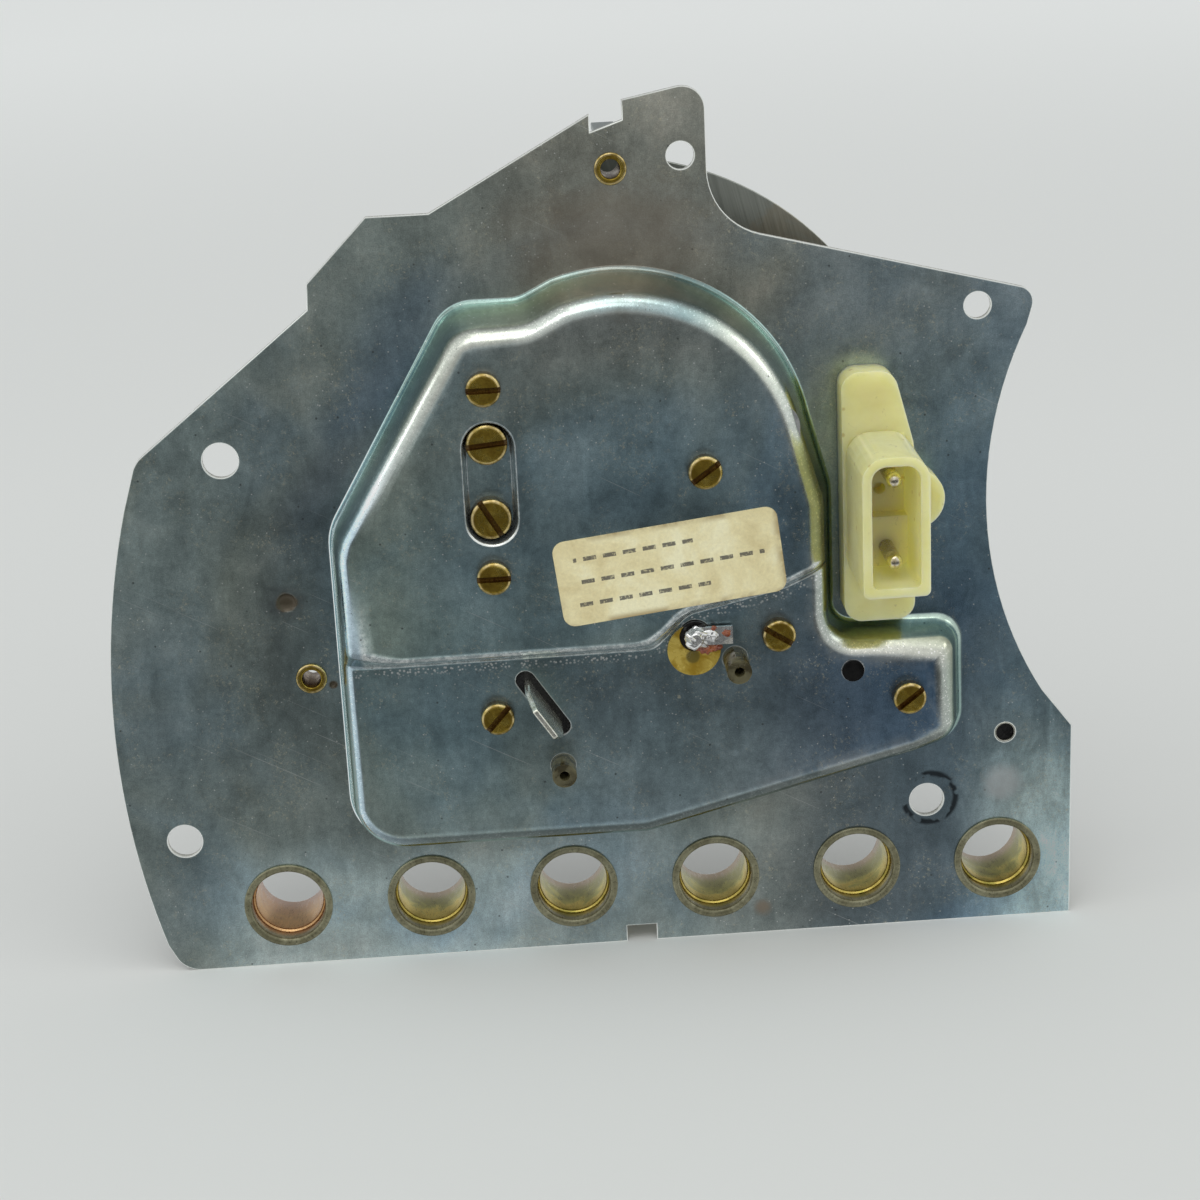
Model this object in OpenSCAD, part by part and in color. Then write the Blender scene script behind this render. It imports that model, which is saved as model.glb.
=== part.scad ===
// Tachometer module of an instrument cluster, with a small clock in the lower part of its dial.
// Seen from behind: +X is right, +Z is up, and +Y runs from the rear of the carrier plate to the dial.
// The origin is on the axis of the first lamp tube, at the plate's rear face.

/* [Carrier plate] */
// Thickness of the sheet
sheet_t = 1; // [0.8:0.05:1.2]
// Height of the lower level of the drawn pan
lower_h = 6; // [5:0.25:7]
// Height of the upper level of the drawn pan
upper_h = 9; // [8:0.25:10]
// Height of the bottom edge of the plate
edge_bottom = -9.1; // [-11:0.1:-8]
// Place of the right edge of the plate
edge_right = 110.4; // [109:0.1:114]
// Centre of the hollow right side of the plate
hollow_centre = [152.9, 53.1]; // [50:0.1:160]
// Radius of the hollow right side of the plate
hollow_r = 54.5; // [52:0.1:56]
// Centre of the bowed left side of the plate
bow_centre = [96.2, 25.9]; // [20:0.1:100]
// Radius of the bowed left side of the plate
bow_r = 117.6; // [115:0.1:120]
// Upper corner of the plate beside the upper right hole
shoulder = [104.9, 81.0]; // [70:0.1:112]
// Top corner of the ear
ear = [62, 110.6]; // [55:0.1:118]
// Inner corner between the ear and the right shoulder
crook = [62, 92.3]; // [55:0.1:98]
// Width of the two alignment notches
notch_w = 4.2; // [3:0.1:6]
// Middle of the two alignment notches
notch_x = 49.3; // [45:0.1:54]
// Depth of the bottom notch
notch_d = 2.4; // [1.5:0.1:4]
// Length of the lugs that are bent forward at the notches
lug_len = 9; // [4:0.5:13]
// Width of the bent lugs
lug_w = 3; // [2:0.1:3.6]

/* [Holes in the plate] */
// Place of the upper left fixing hole
hole_a = [-3.5, 64.55]; // [-12:0.05:70]
// Place of the lower left fixing hole
hole_b = [-13.4, 10.65]; // [-16:0.05:14]
// Place of the lower right fixing hole
hole_c = [90, 9.6]; // [8:0.05:93]
// Place of the fixing hole in the ear
hole_d = [58.65, 101.2]; // [56:0.05:104]
// Place of the fixing hole in the right shoulder
hole_e = [97.1, 79.5]; // [76:0.05:99]
// Radius of the three large fixing holes
large_hole_r = 2.4; // [2:0.05:2.8]
// Radius of the two small fixing holes
small_hole_r = 1.8; // [1.5:0.05:2.2]
// Place of the coined dimple
dimple_at = [3.5, 44.4]; // [2:0.05:47]
// Radius of the coined dimple
dimple_r = 1.3; // [0.8:0.05:1.8]
// Depth of the coined dimple
dimple_d = 0.4; // [0.2:0.05:0.5]
// Place of the upper threaded insert
insert_upper_at = [49.6, 100.0]; // [46:0.05:102]
// Place of the lower threaded insert
insert_lower_at = [5.95, 33.4]; // [4:0.05:36]
// Radius of the insert's collar
insert_collar_r = 2.1; // [1.8:0.05:2.6]
// Radius of the insert's thread
insert_thread_r = 1.25; // [1:0.05:1.5]
// Length of an insert in front of the sheet
insert_len = 5; // [3:0.25:7]

/* [Pan] */
// Left wall of the pan
pan_left = 9.7; // [9:0.1:11]
// Bottom wall of the pan
pan_bottom = 8; // [7.4:0.1:9]
// Right wall of the pan's arm
pan_right = 95.1; // [93:0.1:96]
// Top wall of the pan's arm
arm_top = 37.4; // [36.8:0.1:38]
// Wall of the pan beside the connector
pan_side = 77.4; // [76.6:0.1:77.8]
// Centre of the pan's round top
crown_centre = [49.1, 61.6]; // [48:0.1:63]
// Radius of the pan's round top
crown_r = 26; // [25:0.1:26.5]
// Height of the step between the two levels
step_z = 36.2; // [35.5:0.1:37.5]
// Width of the sunk pocket for the pole screws
pocket_w = 7.1; // [6.4:0.1:7.6]
// Length of the sunk pocket
pocket_len = 16.7; // [16:0.1:18]
// Depth of the sunk pocket
pocket_d = 2.2; // [1.8:0.1:2.6]

/* [Lamp tubes] */
// Number of lamp tubes
lamp_count = 6; // [2:1:6]
// Spacing of the lamp tubes
lamp_pitch = 20; // [18:0.5:20]
// Bore that guides a lamp
lamp_bore_r = 4.7; // [4:0.05:5]
// Seat that takes a lamp's shoulder
lamp_seat_r = 5.1; // [5.05:0.05:5.3]
// Depth of the seat
lamp_seat_d = 2; // [1:0.25:3]
// Outer radius of the rolled rim
lamp_rim_r = 6.16; // [6.05:0.01:6.4]
// Thickness of the rolled rim behind the plate
lamp_rim_t = 0.35; // [0.2:0.05:0.6]
// Wall of the tube
lamp_wall = 0.5; // [0.4:0.05:0.7]
// Length of the tube in front of the plate's rear face
lamp_len = 11.25; // [8:0.25:13]

/* [Screws] */
// Radius of the small cheese heads
screw_head_r = 2.25; // [2:0.05:2.5]
// Height of the small cheese heads
screw_head_h = 1.6; // [1.2:0.1:2]
// Radius of the small threads
screw_r = 1.25; // [1:0.05:1.5]
// Length of the small threads
screw_len = 4; // [3:0.25:5]
// Radius of the pole screws' heads
pole_head_r = 2.72; // [2.4:0.02:3]
// Height of the pole screws' heads
pole_head_h = 2; // [1.6:0.1:2.2]
// Radius of the pole screws' threads
pole_screw_r = 1.5; // [1.25:0.05:1.75]
// Width of the driver slots
slot_w = 0.7; // [0.5:0.05:0.9]
// Depth of the driver slots
slot_d = 0.8; // [0.5:0.05:1]

/* [Label] */
// Middle of the paper label
label_at = [54.6, 49.0]; // [45:0.1:58]
// Width of the label
label_w = 29.8; // [20:0.1:31]
// Height of the label
label_h = 11.8; // [8:0.1:13]
// Turn of the label
label_turn = 6.6; // [0:0.1:8]
// Thickness of the label
label_t = 0.12; // [0.1:0.01:0.2]

/* [Connector] */
// Place of the upper contact pin
pin_at = [83.35, 60.6]; // [60:0.05:84]
// Spacing of the two contact pins
pin_pitch = 10.95; // [9.5:0.05:11.5]
// Radius of the contact pins
pin_r = 1; // [0.75:0.05:1.2]
// Height of the pins' tips over the plate
pin_tip_h = 15.5; // [12:0.25:17]
// Width of the foot
foot_w = 9.5; // [9:0.1:10]
// Height of the foot's lower end on the plate
foot_bottom = 38.2; // [38:0.1:42]
// Height of the foot's upper end on the plate
foot_top = 72.5; // [69:0.1:75]
// Thickness of the foot
foot_h = 4.5; // [3.5:0.25:5.5]
// Height of the shroud over the plate
shroud_h = 18; // [16:0.25:20]
// Width of the shroud
shroud_w = 8.7; // [8:0.05:9]
// Wall of the shroud
shroud_wall = 1.2; // [0.8:0.05:1.5]
// Distance from a pin to the outside of the shroud's end
shroud_end = 3.85; // [3.2:0.05:4.2]
// Height of the shroud's upper floor
floor_high = 8; // [6:0.25:9]
// Height of the shroud's lower floor
floor_low = 5.5; // [5:0.25:6]
// Radius of the lug beside the shroud
lug_r = 4.1; // [3:0.1:4.5]

/* [Supply tab] */
// Middle of the slot for the supply tab
tab_at = [37.05, 29.9]; // [26:0.05:39]
// Turn of the slot
tab_turn = -57; // [-70:1:-40]
// Width of the slot
tab_slot_w = 2.65; // [2.3:0.05:3]
// Length of the slot, end to end
tab_slot_len = 10.8; // [10:0.1:12]
// Width of the blade
tab_w = 7.8; // [6.3:0.1:8]
// Thickness of the blade
tab_t = 0.8; // [0.5:0.05:1]
// Height of the blade over the lower level
tab_h = 8; // [6:0.25:10]
// Width of the blade's tip
tab_tip_w = 4.7; // [3:0.1:6]
// Length of the tapered tip
tab_taper = 3.4; // [2:0.1:5]

/* [Earth terminal] */
// Middle of the terminal
terminal_at = [57.8, 38.2]; // [35:0.05:59]
// Middle of the insulating washer
washer_at = [57.6, 36.3]; // [35:0.05:59]
// Radius of the insulating washer
washer_r = 3.6; // [2.8:0.05:4]
// Thickness of the washer
washer_t = 0.5; // [0.3:0.05:0.8]
// Radius of the hole for the terminal
terminal_hole_r = 2.2; // [1.6:0.05:2.4]
// Radius of the terminal stud
stud_r = 0.7; // [0.5:0.05:1]
// Length of the tinned tag
tag_len = 5.4; // [4:0.1:7]
// Width of the tinned tag
tag_w = 2.5; // [1.8:0.1:2.8]
// Thickness of the tag
tag_t = 0.5; // [0.3:0.05:0.8]

/* [Dial] */
// Middle of the dial
dial_at = [48.3, 56.9]; // [46:0.05:59]
// Radius of the dial
dial_r = 42.5; // [41:0.25:44]
// Distance from the plate's rear face to the back of the dial
dial_y = 15; // [14.5:0.25:17]
// Thickness of the dial
dial_t = 0.8; // [0.5:0.05:1.2]
// Distance from the spindle to the left dial screw
dial_screw_left = 23.2; // [23:0.1:23.5]
// Distance from the spindle to the right dial screw
dial_screw_right = 21; // [20.5:0.1:21.5]
// Head radius of the dial screws
dial_screw_head_r = 2; // [1.6:0.05:2.4]
// Head height of the dial screws
dial_screw_head_h = 0.9; // [0.6:0.05:1.1]

/* [Needle movement] */
// Place of the needle's spindle
spindle_at = [48.3, 61.8]; // [47:0.05:63]
// Radius of the spindle
spindle_r = 0.5; // [0.4:0.05:0.7]
// Running clearance of pivots and hubs
running = 0.05; // [0.03:0.01:0.1]
// Place of the pillar screws' row beside the spindle
pole_row_x = 31.6; // [31:0.05:32]
// Distance of the pole screws from the spindle's level
pole_screw_dz = 5; // [4.5:0.05:5.5]
// Distance of the small screws from the spindle's level
base_screw_dz = 12.6; // [12:0.05:13]
// Place of the right movement screw
base_screw_right_x = 59.6; // [58:0.05:62]
// Reach of the movement base to the left of the spindle
base_left = 26; // [25.7:0.1:26.5]
// Reach of the movement base to the right of the spindle
base_right = 24; // [23.5:0.1:24.2]
// Half height of the movement base
base_half_h = 16.2; // [15.5:0.1:16.5]
// Thickness of the movement base
base_t = 2.4; // [2:0.1:3]
// Outer radius of the shield can
can_r = 12.8; // [12.5:0.05:13.2]
// Wall of the shield can
can_wall = 0.6; // [0.4:0.05:0.8]
// Height of the shield can
can_h = 13.4; // [13:0.1:14]
// Half height of the coil former's chamber body
former_half_h = 3; // [2.6:0.1:3.2]
// Half width of the coil former
former_half_w = 6.6; // [6:0.1:6.8]
// Thickness of each coil layer
coil_t = 1.1; // [0.8:0.05:1.2]
// Half gap between the two halves of a coil
coil_gap = 1.6; // [1.2:0.05:2]
// Half width of a whole coil
coil_half_w = 5; // [4:0.1:5.5]
// Radius of the magnet rotor
rotor_r = 4.6; // [4:0.1:5]
// Thickness of the magnet rotor
rotor_t = 3; // [2:0.1:3.4]
// Clearance between loose pieces
gap = 0.3; // [0.2:0.05:0.4]
// Outer radius of the hairspring
hairspring_r = 4.6; // [3.5:0.1:5]
// Number of turns of the hairspring
hairspring_turns = 5; // [3:1:6]
// Width of the hairspring's strip
strip_w = 0.16; // [0.1:0.02:0.2]

/* [Needle] */
// Length from the spindle to the needle's tip
needle_len = 33; // [25:0.5:35]
// Length of the needle's tail
needle_tail = 9; // [5:0.5:12]
// Width of the needle at its hub
needle_w = 2.4; // [1.5:0.1:3]
// Radius of the needle's hub cap
cap_r = 5; // [3.5:0.1:7]
// Height of the needle over the dial
needle_over = 2.2; // [1.8:0.1:3]
// Angle of zero from straight up
zero_angle = 125; // [115:1:135]
// Full sweep of the needle
needle_sweep = 250; // [220:1:260]

/* [Circuit board] */
// Distance of the board's rear face from the plate's front face
board_gap = 1; // [0.8:0.1:1.5]
// Thickness of the boards
board_t = 1.5; // [1:0.1:1.6]
// Clearance of the board round the shield can
board_clear = 0.8; // [0.5:0.1:1.5]
// Width of the control chip
chip_w = 19.2; // [16:0.1:20]
// Depth of the control chip
chip_d = 6.3; // [6:0.1:6.5]
// Height of the control chip
chip_h = 3.4; // [2.5:0.1:4]
// Radius of the electrolytic capacitor
electro_r = 4; // [3:0.25:4.5]
// Length of the electrolytic capacitor
electro_len = 12; // [9:0.5:12.5]
// Number of resistors
resistor_count = 5; // [2:1:5]
// Spacing of the resistors
resistor_pitch = 4; // [3:0.25:4.25]
// Length of a resistor
resistor_len = 6; // [4:0.5:6.5]
// Place of the first resistor
resistors_at = [28.4, 45.3]; // [27:0.1:46]
// Place of the control chip
chip_at = [49, 79]; // [48:0.5:80]
// Place of the electrolytic capacitor
electro_at = [18.6, 51]; // [18:0.1:52]
// Place of the lower film capacitor
film_at = [68, 48]; // [47:0.5:69]
// Spacing of the film capacitors
film_pitch = 5.5; // [4.5:0.25:6]
// Width of a film capacitor
film_w = 9; // [6:0.5:10]
// Height and thickness of a film capacitor
film_size = [6, 4]; // [3:0.25:6]
// Place of the trimmer
trimmer_at = [65.8, 71]; // [64:0.1:72]
// Width of the trimmer
trimmer_w = 6.6; // [5:0.1:7]
// Radius of a resistor
resistor_r = 1.15; // [0.8:0.05:1.3]

/* [Clock] */
// Height of the clock's centre
clock_z = 30.5; // [29:0.05:31.5]
// Place of the left clock screw
clock_screw_a = [30.85, 28.5]; // [27:0.05:32]
// Place of the middle clock screw
clock_screw_b = [69.0, 37.8]; // [37:0.05:70]
// Place of the right clock screw
clock_screw_c = [86.5, 27.7]; // [27:0.05:87]
// Place of the left locating peg
peg_a = [39.3, 20.8]; // [20:0.05:40]
// Place of the right locating peg
peg_b = [63.1, 34.6]; // [34:0.05:64]
// Radius of the locating pegs
peg_r = 1.65; // [1.2:0.05:1.8]
// Bore of the locating pegs' ends
peg_bore_r = 0.7; // [0.5:0.05:1]
// Height of the left peg over the lower level
peg_a_h = 4; // [1:0.1:6]
// Height of the right peg over the lower level
peg_b_h = 5.6; // [1:0.1:7]
// Thickness of the clock's base
clock_base_t = 2; // [1.5:0.1:2.5]
// Place of the clock's board in front of the plate's rear face
clock_board_y = 0; // [-0.5:0.1:0.3]
// Thickness of the clock's bridge
bridge_t = 0.8; // [0.6:0.05:1]
// Lower left corner of the clock's bridge
bridge_low = [21, 10.6]; // [10:0.1:22]
// Upper right corner of the clock's bridge
bridge_high = [61.2, 39]; // [38:0.1:62]
// Place of the quartz can
quartz_at = [66, 24]; // [23:0.5:67]
// Length of the quartz can
quartz_len = 8; // [6:0.5:8]
// Radius of the quartz can
quartz_r = 1.5; // [1:0.05:1.5]
// Place of the clock's chip
clock_chip_at = [56, 28.5]; // [28:0.5:57]
// Size of the clock's chip
clock_chip_size = [9.8, 6]; // [5:0.1:10]
// Length of the stepper motor's coil
stepper_coil_len = 11; // [8:0.5:12]
// Radius of the stepper motor's coil
stepper_coil_r = 1.7; // [1.3:0.05:1.8]
// Module of the setting gears
setting_module = 0.6; // [0.58:0.01:0.6]
// Module of the drive gears
drive_module = 0.4; // [0.36:0.01:0.4]
// Thickness of a gear
gear_t = 0.9; // [0.7:0.05:1]
// Play between gear teeth
backlash = 0.12; // [0.1:0.01:0.16]
// Length of the minute hand
minute_hand_len = 13; // [10:0.5:14]
// Length of the hour hand
hour_hand_len = 9; // [6:0.5:10]

/* [Setting knob] */
// Place of the idler's pin
idler_at = [79.0, 31.8]; // [31:0.05:80]
// Place of the knob's shaft
knob_at = [101.05, 18.98]; // [18:0.01:102]
// Radius of the knob's shaft
knob_shaft_r = 1.2; // [1:0.05:1.3]
// Radius of the knob
knob_r = 4.5; // [3.5:0.1:6]
// Length of the knob
knob_len = 7; // [6:0.25:12]
// Distance from the dial's face to the back of the knob
knob_reach = 5; // [4:0.5:14]
// Number of grip flutes on the knob
flutes = 18; // [8:1:24]

/* [Hidden] */
$fn = 64;

// Levels along +Y
lower_y = -lower_h;
upper_y = -upper_h;
lower_in = lower_y + sheet_t;
upper_in = upper_y + sheet_t;
board_y = sheet_t + board_gap;
base_y = upper_in + base_t;
former_y = base_y + 2;
chamber_y = former_y + former_half_h + 2 * coil_t + gap;
can_y = former_y;
can_top = can_y + can_h;
dial_face = dial_y + dial_t;
needle_y = dial_face + needle_over;
clock_at = [dial_at.x, clock_z];
drive_y = clock_board_y + board_t + 0.9;
drive_step = gear_t + 0.4;
bridge_y = drive_y + 2 * drive_step + 0.4;
setting_y = bridge_y + bridge_t + 0.6;
hour_y = setting_y + gear_t + 0.5;
hour_hand_y = dial_face + 1.4;
minute_hand_y = hour_hand_y + 1.4;
hand_t = 0.4;
eps = 0.01;

// Teeth of the clock's gears
cannon_n = 10;
motion_n = 30;
motion_pinion_n = 10;
hour_n = 40;
idler_n = 65;
knob_n = 20;
centre_n = 40;
train_pinion_n = 10;
train_n = 40;
rotor_pinion_n = 10;
pressure = 25;

// Points, corners and outlines
function unit(v) = v / norm(v);
function along(p, angle, d) = p + d * [cos(angle), sin(angle)];
function bearing(a, b) = atan2(b.y - a.y, b.x - a.x);
function arc(c, r, from, to, steps) =
    [for (i = [0:steps]) along(c, from + (to - from) * i / steps, r)];

// A corner at b between a and c, rounded to radius r
function rounded_corner(a, b, c, r) =
    let (
        u = unit(a - b),
        v = unit(c - b),
        half = acos(u * v) / 2,
        reach = r / tan(half),
        centre = b + unit(u + v) * r / sin(half),
        from = bearing(centre, b + u * reach),
        turn = (bearing(centre, b + v * reach) - from + 540) % 360 - 180,
        steps = max(2, ceil(abs(turn) / 15))
    )
    r <= 0 ? [b] : arc(centre, r, from, from + turn, steps);

// An outline from corners [x, z, radius]
function rounded(k) =
    let (n = len(k))
    [for (i = [0:n - 1])
        each rounded_corner([k[(i + n - 1) % n].x, k[(i + n - 1) % n].y], [k[i].x, k[i].y],
            [k[(i + 1) % n].x, k[(i + 1) % n].y], k[i][2])];

// The same corners moved inward by d, for an outline that runs anticlockwise
function inset(k, d) =
    let (n = len(k))
    [for (i = [0:n - 1])
        let (
            b = [k[i].x, k[i].y],
            u = unit(b - [k[(i + n - 1) % n].x, k[(i + n - 1) % n].y]),
            v = unit([k[(i + 1) % n].x, k[(i + 1) % n].y] - b),
            miter = ([-u.y, u.x] + [-v.y, v.x]) / (1 + u * v),
            left = u.x * v.y - u.y * v.x > 0,
            p = b + miter * d
        )
        [p.x, p.y, k[i][2] <= 0 ? 0 : max(0.2, k[i][2] + (left ? -d : d))]];

// Gear outline with n teeth, one of them at the angle phase
function inv(r, base) = let (a = acos(min(1, base / r))) tan(a) * 180 / PI - a;
function gear_points(n, m, phase) =
    let (
        pitch = n * m / 2,
        base = pitch * cos(pressure),
        root = pitch - 1.2 * m,
        tip = pitch + 0.9 * m,
        half = 90 / n - backlash / 2 / pitch * 180 / PI + inv(pitch, base),
        flank = [for (r = [root, pitch, tip]) [r, half - inv(max(r, base), base)]]
    )
    [for (i = [0:n - 1]) each concat(
        [for (f = flank) along([0, 0], phase + 360 * i / n - f[1], f[0])],
        [for (j = [len(flank) - 1:-1:0]) along([0, 0], phase + 360 * i / n + flank[j][1], flank[j][0])])];

// Phase of a gear with n2 teeth that meshes with a gear of n1 teeth at the angle theta from it
function meshed(theta, n1, phase1, n2) =
    theta + 180 - 360 / n2 * (0.5 - (theta - phase1) * n1 / 360);
function gear_distance(n1, n2, m) = (n1 + n2) * m / 2;

// Places of the clock's arbors
hour_m = gear_distance(cannon_n, motion_n, setting_module) * 2 / (motion_pinion_n + hour_n);
motion_reach = gear_distance(cannon_n, motion_n, setting_module);
idler_reach = gear_distance(motion_n, idler_n, setting_module);
clock_to_idler = norm(idler_at - clock_at);
motion_angle = bearing(clock_at, idler_at)
    - acos((clock_to_idler ^ 2 + motion_reach ^ 2 - idler_reach ^ 2) / (2 * clock_to_idler * motion_reach));
motion_at = along(clock_at, motion_angle, motion_reach);
knob_place = along(idler_at, bearing(idler_at, knob_at), gear_distance(idler_n, knob_n, setting_module));
drive_reach = gear_distance(centre_n, train_pinion_n, drive_module);
train_at = along(clock_at, 200, drive_reach);
stepper_at = along(train_at, 240, gear_distance(train_n, rotor_pinion_n, drive_module));

// Phases of the meshed gears
motion_phase = meshed(motion_angle, cannon_n, 0, motion_n);
idler_phase = meshed(bearing(motion_at, idler_at), motion_n, motion_phase, idler_n);
knob_phase = meshed(bearing(idler_at, knob_place), idler_n, idler_phase, knob_n);
hour_phase = meshed(motion_angle + 180, motion_pinion_n, 0, hour_n);
train_phase = meshed(200, centre_n, 0, train_pinion_n);
stepper_phase = meshed(240, train_n, 0, rotor_pinion_n);

// Solids along +Y
module slab(y0, y1) {
    translate([0, y1, 0]) rotate([90, 0, 0]) linear_extrude(y1 - y0) children();
}
module rod(at, r, y0, y1) {
    translate([at.x, y1, at.y]) rotate([90, 0, 0]) cylinder(r = r, h = y1 - y0);
}
module tube(at, r, bore, y0, y1) {
    difference() {
        rod(at, r, y0, y1);
        rod(at, bore, y0 - 1, y1 + 1);
    }
}
module block(at, w, h, y0, y1, turn = 0) {
    translate([at.x, y0, at.y]) rotate([0, -turn, 0])
        translate([-w / 2, 0, -h / 2]) cube([w, y1 - y0, h]);
}
module gear(at, n, m, phase, y0, bore) {
    translate([at.x, 0, at.y]) difference() {
        slab(y0, y0 + gear_t) polygon(gear_points(n, m, phase));
        if (bore > 0) rod([0, 0], bore, y0 - 1, y0 + gear_t + 1);
    }
}

// Outline of the carrier plate, anticlockwise from the bottom left
left_top = asin((58.5 - bow_centre.y) / bow_r);
left_bottom = asin((-5 - bow_centre.y) / bow_r);
hollow_bottom = asin((25 - hollow_centre.y) / hollow_r);
hollow_top = asin((76.6 - hollow_centre.y) / hollow_r);
notch_left = notch_x - notch_w / 2;
notch_right = notch_x + notch_w / 2;
top_notch_z = 105.4;
function plate_outline() = concat(
    arc([-12.8, edge_bottom + 4], 4, 215, 270, 5),
    [[notch_left, edge_bottom], [notch_left, edge_bottom + notch_d],
        [notch_right, edge_bottom + notch_d], [notch_right, edge_bottom],
        [edge_right, edge_bottom], [edge_right, 19.4]],
    [for (i = [0:8]) hollow_centre
        + hollow_r * [-cos(hollow_bottom + (hollow_top - hollow_bottom) * i / 8),
            sin(hollow_bottom + (hollow_top - hollow_bottom) * i / 8)]],
    rounded_corner([103.8, 76.6], shoulder, crook + [8, 0], 2.2),
    rounded_corner(shoulder, crook, ear, 9),
    rounded_corner(crook, ear, [notch_right, 108.6], 3),
    [[notch_right, 108.6], [notch_right, top_notch_z + 0.7], [notch_left, top_notch_z - 0.7],
        [notch_left, 107], [26, 95.5], [17.9, 95.5], [9.7, 87.3], [9.5, 83.9]],
    rounded_corner([9.5, 83.9], [-14.7, 64.9], [-16.9, 58.5], 4),
    [for (i = [0:8]) bow_centre
        + bow_r * [-cos(left_top + (left_bottom - left_top) * i / 8),
            sin(left_top + (left_bottom - left_top) * i / 8)]]);

// Corners of the pan, anticlockwise from the bottom left
crown_points = arc(crown_centre, crown_r, 12, 108, 12);
pan_corners = concat(
    [[pan_left, pan_bottom, 8], [50.9, pan_bottom, 6], [88, 17.4, 6], [pan_right, 19.2, 5],
        [pan_right, arm_top, 4], [pan_side, arm_top, 2.5], [pan_side, 56.5, 6]],
    [for (p = crown_points) [p.x, p.y, 0]],
    [[36.8, 84.2, 5], [27.4, 84.2, 6], [pan_left, 54.2, 8]]);
upper_corners = concat(
    [[pan_left, step_z, 6], [52.2, step_z, 3], [57, 41, 4], [70.3, 44, 6], [pan_side, 47.2, 1],
        [pan_side, 56.5, 6]],
    [for (p = crown_points) [p.x, p.y, 0]],
    [[36.8, 84.2, 5], [27.4, 84.2, 6], [pan_left, 54.2, 8]]);
pocket_at = [pole_row_x + 0.15, spindle_at.y - 0.2];

module pocket(y0, y1, grow) {
    half = (pocket_len - pocket_w) / 2;
    for (s = [-1, 1]) rod(pocket_at + [0, s * half], pocket_w / 2 + grow, y0, y1);
    block(pocket_at, pocket_w + 2 * grow, 2 * half, y0, y1);
}

small_screws = [[pole_row_x, spindle_at.y + base_screw_dz], [pole_row_x - 0.1, spindle_at.y - base_screw_dz],
    [base_screw_right_x, spindle_at.y]];
pole_places = [[pole_row_x, spindle_at.y + pole_screw_dz], [pole_row_x, spindle_at.y - pole_screw_dz]];
clock_places = [clock_screw_a, clock_screw_b, clock_screw_c];
pin_places = [pin_at, pin_at - [0, pin_pitch]];
pin_floors = [floor_low, floor_high];
shank_r = pin_r - 0.2;
window_w = foot_w - 4;
window_h = pin_pitch + 7;
window_at = pin_at - [0, pin_pitch / 2];

module rear_plate() {
    color("slategray") difference() {
        union() {
            slab(0, sheet_t) polygon(plate_outline());
            slab(lower_y, sheet_t / 2) polygon(rounded(pan_corners));
            slab(upper_y, lower_y + eps) polygon(rounded(upper_corners));
            bent_lugs();
        }
        difference() {
            union() {
                slab(lower_in, sheet_t + 1) polygon(rounded(inset(pan_corners, sheet_t)));
                slab(upper_in, lower_in + eps) polygon(rounded(inset(upper_corners, sheet_t)));
            }
            pocket(upper_in - 1, upper_in + pocket_d, sheet_t);
        }
        pocket(upper_y - 1, upper_y + pocket_d, 0);
        plate_holes();
    }
}
module bent_lugs() {
    block([notch_x, edge_bottom + notch_d + sheet_t / 2], lug_w, sheet_t, 0, lug_len);
    block([notch_x, top_notch_z - sheet_t / 2 - 0.5], lug_w, sheet_t, 0, lug_len);
}
module plate_holes() {
    for (p = [hole_a, hole_b, hole_c]) rod(p, large_hole_r, -1, sheet_t + 1);
    for (p = [hole_d, hole_e]) rod(p, small_hole_r, -1, sheet_t + 1);
    for (i = [0:lamp_count - 1]) rod([i * lamp_pitch, 0], lamp_seat_r + lamp_wall, -1, sheet_t + 1);
    for (p = [insert_upper_at, insert_lower_at]) rod(p, insert_collar_r - 0.4, -1, sheet_t + 1);
    for (p = small_screws) rod(p, screw_r + 0.1, upper_y - 1, upper_in + 1);
    for (p = pole_places) rod(p, pole_screw_r + 0.1, upper_y, upper_in + pocket_d + 1);
    for (p = clock_places) rod(p, screw_r + 0.1, lower_y - 1, lower_in + 1);
    for (p = [peg_a, peg_b]) rod(p, peg_r + running, lower_y - 1, lower_in + 1);
    rod(dimple_at, dimple_r, -1, dimple_d);
    rod(knob_place, bush_r, -1, sheet_t + 1);
    rod(idler_at, pin_body_r, lower_y - 1, lower_in + 1);
    rod(terminal_at, terminal_hole_r, lower_y - 1, lower_in + 1);
    block(window_at, window_w, window_h, -1, sheet_t + 1);
    tab_slot(lower_y - 1, lower_in + 1, 0);
}
module tab_slot(y0, y1, shrink) {
    half = (tab_slot_len - tab_slot_w) / 2;
    r = tab_slot_w / 2 - shrink;
    for (s = [-1, 1]) rod(along(tab_at, tab_turn, s * half), r, y0, y1);
    block(tab_at, 2 * half, 2 * r, y0, y1, tab_turn);
}

// Lamp tubes
module lamp_tubes() {
    seat_outer = lamp_seat_r + lamp_wall;
    bore_outer = lamp_bore_r + lamp_wall;
    color("khaki") for (i = [0:lamp_count - 1]) {
        at = [i * lamp_pitch, 0];
        difference() {
            union() {
                rod(at, lamp_rim_r, -lamp_rim_t, 0);
                rod(at, seat_outer, -eps, lamp_seat_d + lamp_wall);
                rod(at, bore_outer, lamp_seat_d, lamp_len);
            }
            rod(at, lamp_seat_r, -lamp_rim_t - 1, lamp_seat_d);
            rod(at, lamp_bore_r, lamp_seat_d - eps, lamp_len + 1);
        }
    }
}

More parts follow.
